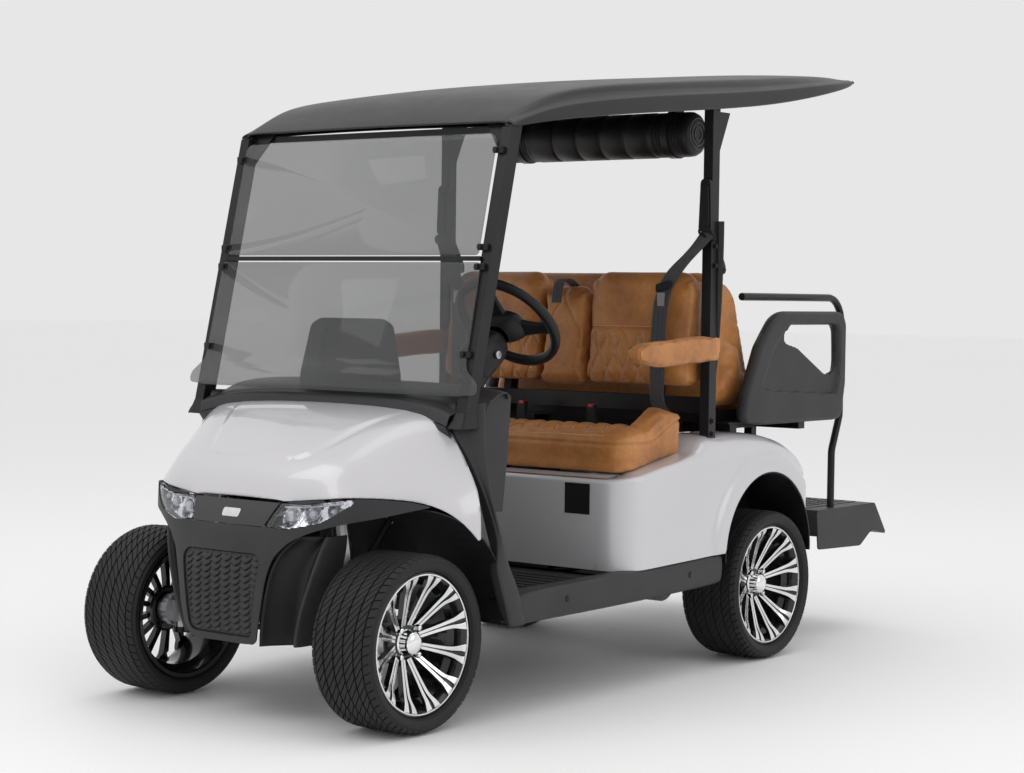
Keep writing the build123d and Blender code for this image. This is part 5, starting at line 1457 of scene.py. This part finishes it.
def rear_body():
    plan = rounded_outline(BODY_PLAN[1:3] + ((0, 1915, 0), (0, 850, 0)), 12)
    order = np.argsort([math.atan2(p[1] - 1380, p[0] + 1.0) for p in plan])
    plan = plan[order]
    plan = plan[(plan[:, 0] > 0.5)]
    plan = np.concatenate([[(0.0, 850.0)], plan, [(0.0, 1915.0)]])
    steps = np.concatenate([[0], np.cumsum(np.linalg.norm(np.diff(plan, axis=0), axis=1))])
    at = np.linspace(0, steps[-1], 300)
    line = np.stack([np.interp(at, steps, plan[:, k]) for k in range(2)], -1)
    ahead = np.gradient(line, axis=0)
    ahead /= np.linalg.norm(ahead, axis=1, keepdims=True)
    inward = np.stack([-ahead[:, 1], ahead[:, 0]], -1)
    rows = []
    for (x, y), (ix, iy) in zip(line, inward):
        top, radius = (float(smooth_curve([(r[0], r[k]) for r in BODY_TOP], np.array(y))) for k in (1, 2))
        low = float(np.interp(y, (850, 1365, 1915), (352, 366, 338)))
        column = [(0, low + (top - radius - low) * k / 26) for k in range(27)]
        column += [(radius * (1 - math.cos(a)), top - radius + radius * math.sin(a))
                   for a in np.linspace(0.12, math.pi / 2, 14)]
        column += [(radius + 14 * k, top + 1.5 * k ** 0.5) for k in range(1, 7)]
        for depth, z in column:
            reach = depth if x > 90 else depth * 0.9
            rows.append((max(x + ix * reach, 0.0), y + iy * depth, z))
    down, along = len(line), 47
    points = np.array(rows)
    x, y, z = points.T
    away = np.hypot(y - WELL_Y, z - WELL_Z)
    side = smoothstep(500, 560, x)
    swell = 8.5 * smoothstep(WELL_R + 68, WELL_R + 48, away) * smoothstep(345, 380, z)
    points[:, 0] += swell * side
    points[:, 0] -= 3.0 * groove(away - WELL_R - 70, 14.0) * side * smoothstep(380, 420, z)
    points[:, 0] += 4.0 * smoothstep(560, 420, z) * smoothstep(1330, 1200, y) * side * 0.5

    def outside(p):
        x, y, z = p.T
        return np.where(x > 300, WELL_R + 1.0 - np.hypot(y - WELL_Y, z - WELL_Z), -1e3)

    faces = [tuple(reversed(f)) for f in grid_faces(down, along)]
    points, faces = clip(points, faces, outside)
    kept, kept_faces = solids_of("rear_body")[0]
    kept, kept_faces = clip(kept, kept_faces, lambda p: np.where(p[:, 2] > 560, np.abs(p[:, 0]) - 500, 1.0)
                            + 1e3 * (p[:, 1] > 1850) + 1e3 * (p[:, 1] < 858))
    piece = make("rear_shell", *mirror_x(points, faces), PEARL, slot="pearl_body", smooth=50,
                 stands_for=("rear_body",))
    thicken(piece, 3.5, -1.0)
    bevel(piece, 1.4, 2, 60)
    make("rear_deck_shell", kept, kept_faces, PEARL, slot="pearl_body", smooth=35)
    rim = []
    for a in np.linspace(math.radians(-3), math.radians(183), 90):
        y, z = WELL_Y + (WELL_R + 1) * math.cos(a), WELL_Z + (WELL_R + 1) * math.sin(a)
        rim.append([(590.5, y, z),
                    (590.5, WELL_Y + (WELL_R - 3) * math.cos(a), WELL_Z + (WELL_R - 3) * math.sin(a)),
                    (560, WELL_Y + (WELL_R - 3) * math.cos(a), WELL_Z + (WELL_R - 3) * math.sin(a))])
    grid = np.array(rim).reshape(-1, 3)
    edge = make("well_lips", *mirror_x(grid, grid_faces(90, 3)), BLACK, slot="black_plastic", smooth=40)
    thicken(edge, 2.0, 0.0)


trims()
dash()
windshield()
roof()
rear_body()


# ------------------------------------------------------------------ posts, wheel, belts and rails
def struts():
    points, faces = solids_of("front_struts")[0]

    def foot(p):
        x, y, z = p.T
        return np.where(np.abs(x) > 300, 818 + 0.4 * (y - 190) - z, -1e3)

    points, faces = clip(points, faces, foot)
    piece = make("front_posts", points, faces, STRUT, slot="black_steel", smooth=30,
                 stands_for=("front_struts",))
    bevel(piece, 4.0, 3, 40)
    feet = []
    for sign in (1, -1):
        rows = []
        for z, grow in ((800, 15), (812, 12), (824, 7), (842, 3.0)):
            y = pillar_y(z)
            line = rounded_outline([(505 - 17 - grow, y - 23 - grow, 8),
                                    (505 + 17 + grow * 0.6, y - 23 - grow, 8),
                                    (505 + 17 + grow * 0.6, y + 23 + grow, 8),
                                    (505 - 17 - grow, y + 23 + grow, 8)])
            rows.append([(a * sign, b, z) for a, b in line])
        count = len(rows[0])
        faces = grid_faces(4, count, False, True)
        feet.append((np.array(rows).reshape(-1, 3), faces + [tuple(range(3 * count, 4 * count))]))
    outward(make("post_feet", *merge(*feet), BLACK, slot="black_plastic", smooth=50))


def steering():
    middle = np.array([290.0, 648.0, 1083.0])
    tilt = math.radians(43.6)
    # The wheel's own frame: a to the rider's side, b up its face, c out of its face towards the rider.
    a = np.array([1.0, 0.0, 0.0])
    c = np.array([0.0, math.cos(tilt), math.sin(tilt)])
    b = np.cross(c, a)

    def placed(points):
        points = np.asarray(points, float)
        return middle + points[:, :1] * a + points[:, 1:2] * b + points[:, 2:3] * c

    grip, count, sides = [], 96, 18
    for i in range(count):
        angle = 2 * math.pi * i / count
        thick = 15.6 + 0.9 * math.cos(4 * angle)
        for k in range(sides):
            turn = 2 * math.pi * k / sides
            radius = 156.0 + thick * math.cos(turn)
            grip.append((radius * math.cos(angle), radius * math.sin(angle), thick * 0.95 * math.sin(turn)))
    parts = [(placed(grip), grid_faces(count, sides, True, True))]
    for angle, wide, deep in ((math.radians(8), 31, 9), (math.radians(172), 31, 9),
                              (math.radians(270), 26, 8)):
        along = np.array([math.cos(angle), math.sin(angle)])
        aside = np.array([-along[1], along[0]])
        rows = []
        for reach, half, drop, thick in ((30, wide * 1.25, -16, deep + 7), (62, wide, -13, deep + 3),
                                         (100, wide * 0.68, -7, deep),
                                         (132, wide * 0.62, -2, deep), (152, wide * 0.8, 0, deep)):
            ring = []
            for k in range(12):
                turn = 2 * math.pi * k / 12
                u = half * np.sign(math.cos(turn)) * abs(math.cos(turn)) ** 0.6
                w = thick * np.sign(math.sin(turn)) * abs(math.sin(turn)) ** 0.7
                place = along * reach + aside * u
                ring.append((place[0], place[1], drop + w))
            rows.append(ring)
        grid = surface(np.array(rows), 20, 24, closed_along=True).reshape(-1, 3)
        parts.append((placed(grid), grid_faces(20, 24, False, True)))
    rows = []
    for height, wide, tall, shift in ((-58, 34, 34, -4), (-44, 56, 46, -4), (-26, 70, 54, -2),
                                      (-8, 72, 55, 0), (4, 66, 50, 2),
                                      (10, 48, 36, 3), (11.5, 18, 14, 3), (11.6, 1, 1, 3)):
        ring = []
        for k in range(28):
            turn = 2 * math.pi * k / 28
            u = wide * np.sign(math.cos(turn)) * abs(math.cos(turn)) ** 0.75
            w = tall * np.sign(math.sin(turn)) * abs(math.sin(turn)) ** 0.8
            ring.append((u, w + shift, height))
        rows.append(ring)
    grid = surface(np.array(rows), 34, 56, closed_along=True).reshape(-1, 3)
    parts.append((placed(grid), grid_faces(34, 56, False, True)))
    piece = make("steering_wheel_seen", *merge(*parts), BLACK, "steering_wheel", "black_plastic", 50,
                 ("steering_wheel",))
    outward(piece)
    seam = [(46 * math.cos(t), 34 * math.sin(t) + 3,
             10.5 - 2.0 * abs(math.cos(t)) ** 4) for t in np.linspace(0, 2 * math.pi, 60)]
    make("horn_seam", *tube_mesh(placed(seam), 0.9, 6, False), GLOSS, "steering_wheel", "black_plastic", 60)
    # The shrouds round the column under the wheel.
    lower = middle - c * 78
    rows = []
    for reach, wide, tall, shift in ((0, 40, 40, -4), (-14, 52, 52, -10), (-60, 58, 60, -16),
                                     (-110, 52, 54, -14), (-150, 40, 42, -8),
                                     (-162, 24, 24, -6), (-163, 2, 2, -6)):
        ring = []
        for k in range(20):
            turn = 2 * math.pi * k / 20
            u = wide * np.sign(math.cos(turn)) * abs(math.cos(turn)) ** 0.7
            w = tall * np.sign(math.sin(turn)) * abs(math.sin(turn)) ** 0.7
            ring.append(lower + a * u + b * (w + shift) + c * reach)
        rows.append(ring)
    grid = surface(np.array(rows), 40, 48, closed_along=True).reshape(-1, 3)
    outward(make("column_shroud", grid, grid_faces(40, 48, False, True), BLACK, slot="black_plastic",
                 smooth=50))
    key, key_faces = ring_mesh([(0, 12), (6, 12), (7, 10.5), (7, 5), (5, 5), (5, 0.4)], 24, False)
    key = np.stack([key[:, 1], key[:, 2], key[:, 0]], -1)
    spot = lower + a * 57 - c * 70 - b * 14
    side = np.array([key @ np.array([0, 0, 1.0]), key[:, 0], key[:, 1]])
    keyed = spot + side[0][:, None] * a + side[1][:, None] * b + side[2][:, None] * c
    outward(make("key_switch", keyed, key_faces, STEEL, slot="black_plastic", smooth=40))


def soundbar():
    y, z = REAR - 170.0, 1684.0
    profile = [(-385, 0.5), (-385, 52), (-383, 58), (-376, 66), (-366, 71), (-352, 72)]
    for low, high in ((-350, -262), (262, 350)):
        for k in range(9):
            x = low + (high - low) * k / 9
            wide = (high - low) / 9
            profile += [(x, 70), (x + wide * 0.18, 72), (x + wide * 0.62, 72), (x + wide * 0.8, 69.4)]
        profile += [(high, 70), (high + 6, 72), (high + 14, 72)] if low < 0 else []
        if low < 0:
            for k in range(5):
                x = -240 + 96 * k
                profile += [(x, 72), (x + 3, 73.4), (x + 84, 73.4), (x + 88, 72), (x + 91, 69.5)]
            profile += [(244, 72), (258, 72)]
    profile += [(352, 72), (366, 71), (376, 66), (383, 58), (385, 52), (385, 0.5)]
    profile = sorted(profile, key=lambda p: p[0])
    bar, faces = ring_mesh(profile, 72, False)
    bar = bar + np.array([0, y, z])
    piece = make("soundbar_seen", bar, faces, BLACK, slot="black_plastic", smooth=35,
                 stands_for=("soundbar",))
    outward(piece)
    brackets = []
    for x in (-300, 300):
        band = [(x, y + 75.0 * math.cos(a), z + 75.0 * math.sin(a))
                for a in np.linspace(0, 2 * math.pi, 48, endpoint=False)]
        ring = []
        for _, by, bz in band:
            dy, dz = (by - y) / 75.0, (bz - z) / 75.0
            ring.append([(x - 13, by - dy * 2, bz - dz * 2), (x - 13, by + dy, bz + dz),
                         (x + 13, by + dy, bz + dz),
                         (x + 13, by - dy * 2, bz - dz * 2)])
        brackets.append((np.array(ring).reshape(-1, 3), grid_faces(48, 4, True, True)))
        brackets.append(box_mesh((x - 16, x + 16), (y - 22, y + 22), (z + 70, 1822)))
    outward(make("soundbar_straps", *merge(*brackets), STRUT, slot="black_steel", smooth=30))
    ends = []
    for sign in (1, -1):
        for radius in (20, 36, 50):
            path = [(sign * 386.0, y + radius * math.cos(t), z + radius * math.sin(t))
                    for t in np.linspace(0, 2 * math.pi, 40)]
            ends.append(tube_mesh(path, 1.6, 6, False))
    make("soundbar_end_rings", *merge(*ends), GLOSS, slot="gloss_black", smooth=60)


def strap_mesh(path, across, width, thick, count=60):
    """A flat webbing along control points; across gives its width direction at each of them."""
    net = []
    for p, d in zip(np.asarray(path, float), np.asarray(across, float)):
        d = d / np.linalg.norm(d)
        net.append(np.concatenate([p, d]))
    line = surface(np.array([net, net])[:, :, :3], 2, count)[0]
    wide = surface(np.array([net, net])[:, :, 3:], 2, count)[0]
    ahead = np.gradient(line, axis=0)
    ahead /= np.linalg.norm(ahead, axis=1, keepdims=True)
    wide -= ahead * (wide * ahead).sum(1, keepdims=True)
    wide /= np.linalg.norm(wide, axis=1, keepdims=True)
    out = np.cross(ahead, wide)
    rows = []
    shares = (-1.0, -0.94, -0.62, -0.56, -0.5, -0.06, 0.0, 0.06, 0.5, 0.56, 0.62, 0.94, 1.0)
    lifts = (0.0, 0.5, 0.5, 0.22, 0.5, 0.5, 0.22, 0.5, 0.5, 0.22, 0.5, 0.5, 0.0)
    for p, w, o in zip(line, wide, out):
        front = [p + w * share * width / 2 + o * thick * lift for share, lift in zip(shares, lifts)]
        back = [p + w * share * width / 2 - o * thick * lift for share,
                lift in zip(shares[-2:0:-1], lifts[-2:0:-1])]
        rows.append(front + back)
    sides = len(rows[0])
    faces = grid_faces(count, sides, False, True) + [tuple(reversed(range(sides))),
                                                     tuple(range((count - 1) * sides, count * sides))]
    return np.array(rows).reshape(-1, 3), faces


def slab(front, back):
    """The solid between two outlines that have as many points as each other."""
    count = len(front)
    sides = [(k, k + count, (k + 1) % count + count, (k + 1) % count) for k in range(count)]
    return np.array(front + back), [tuple(range(count)), tuple(reversed(range(count, 2 * count)))] + sides


def belts():
    straps, hard, tongues = [], [], []
    for sign in (1, -1):
        def at(*rows):
            return [(x * sign, y, z) for x, y, z in rows]

        x_line = np.array([1.0 * sign, 0.0, 0.0])
        down = [(x_line + np.array([0, 0, 0.35 * k])) for k in (1, 1, 1, 1, 0.6, 0.2, 0, 0, 0, 0, 0, 0)]
        straps.append(strap_mesh(at((541, 1337, 1372), (528, 1332, 1350), (505, 1322, 1318),
                                    (472, 1296, 1272), (438, 1280, 1228),
                                    (416, 1271, 1180), (406, 1266, 1120), (403, 1264, 1040), (402, 1263, 950),
                                    (402, 1262, 870),
                                    (402, 1268, 822), (402, 1300, 806), (402, 1330, 826)), down, 54, 2.6,
                                 110))
        straps.append(strap_mesh(at((541, 1381, 1400), (540, 1383, 1250), (532, 1384, 1080), (520, 1386, 930),
                                    (505, 1390, 850)),
                                 [(1, 0, 0)] * 5, 50, 2.6, 40))
        # The height adjuster, its guide loop and the slider on the webbing.
        for low, high, half, depth in ((1366, 1530, 24, 15), (1380, 1512, 19, 20)):
            line = rounded_outline([(530 - half, low, 12), (530 + half, low, 12), (530 + half - 6, high, 14),
                                    (530 - half + 6, high, 14)])
            front = [(x * sign, 1359 - 20 - depth, z) for x, z in line]
            back = [(x * sign, 1359 - 19, z) for x, z in line]
            hard.append(slab(front, back))
        loop = rounded_outline([(-31, -9, 8), (31, -9, 8), (31, 9, 8), (-31, 9, 8)])
        ring = [(534 * sign + (u * math.cos(0.5) + v * math.sin(0.5)) * sign, 1332.0,
                 1358 - u * math.sin(0.5) + v) for u, v in loop]
        hard.append(tube_mesh(ring + ring[:1], 4.2, 8, False))
        z, wide, high = 1196, 29, 13
        line = rounded_outline([(-wide, -high, 7), (wide, -high, 7), (wide, high, 7), (-wide, high, 7)])
        front = [(418 * sign + u * sign, 1265.5, z + v + 0.22 * u) for u, v in line]
        hard.append(slab(front, [(x, y + 9, zz) for x, y, zz in front]))
        line = rounded_outline([(-13, -26, 5), (13, -26, 5), (15, 16, 5), (-15, 16, 5)])
        front = [(412 * sign + u * sign, 1263.5, 1160 + v) for u, v in line]
        tongues.append(slab(front, [(x, y + 2.5, zz) for x, y, zz in front]))
    straps.append(strap_mesh([(0, 1384, 1185), (0, 1334, 1226), (0, 1290, 1216), (0, 1276, 1186),
                              (0, 1272, 1140)],
                             [(1, 0, 0)] * 5, 40, 2.6, 40))
    outward(make("belt_webbing_seen", *merge(*straps), WEBBING, slot="webbing", smooth=60,
                 stands_for=("seat_belts",)))
    piece = outward(make("belt_fittings", *merge(*hard), BLACK, slot="black_plastic", smooth=35))
    bevel(piece, 2.0, 2, 50)
    outward(make("belt_tongues", *merge(*tongues), STEEL, slot="steel", smooth=35))


def buckles():
    points, faces = merge(*solids_of("belt_buckles"))
    piece = make("buckle_bodies", points, faces, BLACK, slot="black_plastic", smooth=30,
                 stands_for=("belt_buckles",))
    bevel(piece, 3.0, 3, 40)
    buttons = []
    for part, _ in solids_of("belt_buckles"):
        high = part[part[:, 2] > part[:, 2].max() - 14]
        middle = high.mean(0)
        buttons.append(box_mesh((middle[0] - 9, middle[0] + 9), (middle[1] - 9, middle[1] + 9),
                                (middle[2] - 8, part[:, 2].max() + 3)))
    piece = outward(make("buckle_buttons", *merge(*buttons), RED, slot="black_plastic", smooth=30))
    bevel(piece, 1.8, 2, 40)


def plate(outer, holes, place, half, edge, recess=None, step=5.0):
    """A moulded plate in the y-z plane round x = place, with rolled edges: its points and faces."""
    around = polygon_distance(outer)
    voids = [polygon_distance(hole) for hole in holes]
    line = np.array([p[:2] for p in outer])
    ys = np.arange(line[:, 0].min() - step, line[:, 0].max() + 2 * step, step)
    zs = np.arange(line[:, 1].min() - step, line[:, 1].max() + 2 * step, step)
    gy, gz = np.meshgrid(ys, zs, indexing="ij")
    flat = np.stack([np.zeros(gy.size), gy.ravel(), gz.ravel()], -1)

    def outside(p):
        return np.max([around(p[:, 1], p[:, 2])] + [-void(p[:, 1], p[:, 2]) for void in voids], axis=0)

    points, faces = clip(flat, grid_faces(len(ys), len(zs)), outside)
    inside = np.clip(-outside(points), 0, edge) / edge
    depth = half * np.sqrt(np.clip(1 - (1 - inside) ** 2, 0, 1))
    if recess:
        depth = np.minimum(depth, half - recess(points[:, 1], points[:, 2]))
    front, back = points.copy(), points.copy()
    front[:, 0], back[:, 0] = place + depth, place - depth
    return merge((front, faces), (back, [tuple(reversed(f)) for f in faces]))


ARM_OUTER = ((1555, 762, 30), (1690, 752, 30), (2190, 752, 40), (2216, 880, 40), (2216, 1080, 60),
             (2190, 1121, 50), (1760, 1121, 130),
             (1655, 1010, 90), (1575, 850, 40))
ARM_WINDOW = ((1800, 1022, 24), (1845, 1076, 50), (2160, 1076, 36), (2168, 925, 40), (2095, 905, 60),
              (1905, 1000, 60))

STRUT_OUT, TREAD_HALF, FOOTREST_TOP = 547.0, 455.0, 449.0
ARM_WEB = ((1662, 862, 18), (2150, 838, 20), (2170, 905, 12), (2176, 985, 10), (1900, 1030, 10),
           (1812, 1066, 16), (1735, 1000, 24))


def strut_fittings():
    """Gussets behind the rear posts, where the rear belts hang, and the bolts of both."""
    meshes = [plate(((1374, 1236, 4), (1446, 1236, 10), (1446, 1262, 14), (1392, 1350, 12), (1374, 1350, 4)),
                    (), 530.0, 4.0, 2.0,
                    step=3.0)]
    for y, z in ((1359, 1262), (1359, 1322), (1359, 778), (1359, 738), (1428, 1250)):
        out = 534.0 if y > 1380 else STRUT_OUT
        meshes.append(tube_mesh([(out - 1, y, z), (out + 2.0, y, z), (out + 2.2, y, z)], 11.0, 20))
        meshes.append(tube_mesh([(out + 1, y, z), (out + 7.5, y, z), (out + 7.8, y, z)], 7.0, 6))
    piece = make("strut_fittings", *mirror_x(*merge(*meshes)), STRUT, slot="black_steel", smooth=35)
    outward(piece)
    bevel(piece, 0.8, 2, 50)


def footrest_tread():
    """Raised lozenges on the foot plate, leaning one way and the other by turns."""
    meshes = []
    for i, x in enumerate(np.arange(-TREAD_HALF + 24, TREAD_HALF - 20, 34.0)):
        for j, y in enumerate(np.arange(2112.0, 2440.0, 30.0)):
            points, faces = box_mesh((-13, 13), (-3.2, 3.2), (0, 2.4))
            points = np.asarray(points, float)
            points[points[:, 2] > 1, :2] *= 0.82
            a = math.radians(45 if (i + j) % 2 else -45)
            turned = points @ np.array([[math.cos(a), math.sin(a), 0], [-math.sin(a), math.cos(a), 0],
                                        [0, 0, 1]])
            meshes.append((turned + (x, y, FOOTREST_TOP - 0.3), faces))
    make("footrest_tread", *merge(*meshes), CHARCOAL, slot="charcoal", smooth=30)


def rails():
    web = polygon_distance(ARM_WEB)
    mesh = plate(ARM_OUTER, (ARM_WINDOW,), 520.0, 20.0, 13.0, lambda y,
                 z: 11.0 * smoothstep(0, 7, -web(y, z)))
    piece = make("side_arms_seen", *mirror_x(*mesh), CHARCOAL, slot="charcoal", smooth=50,
                 stands_for=("rear_side_arms",))
    outward(piece)


struts()
steering()
soundbar()
belts()
buckles()
rails()
strut_fittings()
footrest_tread()


# ------------------------------------------------------------------ carried-over CAD nodes
dress(CHARCOAL, "footrest", "flip_deck", bevelled=3.0)
dress(BLACK, "display_housing", "charge_port", "steering_column", "wheel_liners")
dress(STRUT, "rear_struts", "seat_frame", "rear_deck", "grab_rails", "frame", "front_suspension", "pedals",
      "battery_pack", "seat_hinge_lugs", "seat_hinge_leaves")
dress(STEEL, "coil_overs", "rear_axle", "rear_springs", "knuckle_left", "knuckle_right", "tie_rod")
dress(MAT, "floor_pan")

# Dense pieces and the share of their triangles that is kept, so that all added pieces stay under a million.
THINNED = (("roof_shell", 0.4), ("rear_shell", 0.55), ("hood_shell", 0.6), ("back_rear", 0.55),
           ("cushion_rear", 0.6), ("cushion_front", 0.7), ("grille_scales", 0.6), ("side_arms_seen", 0.5),
           ("dash_cowl", 0.6), ("back_front_left", 0.7), ("back_front_right", 0.7))
for name, share in THINNED:
    bpy.data.objects[name].modifiers.new("lighten", "DECIMATE").ratio = share
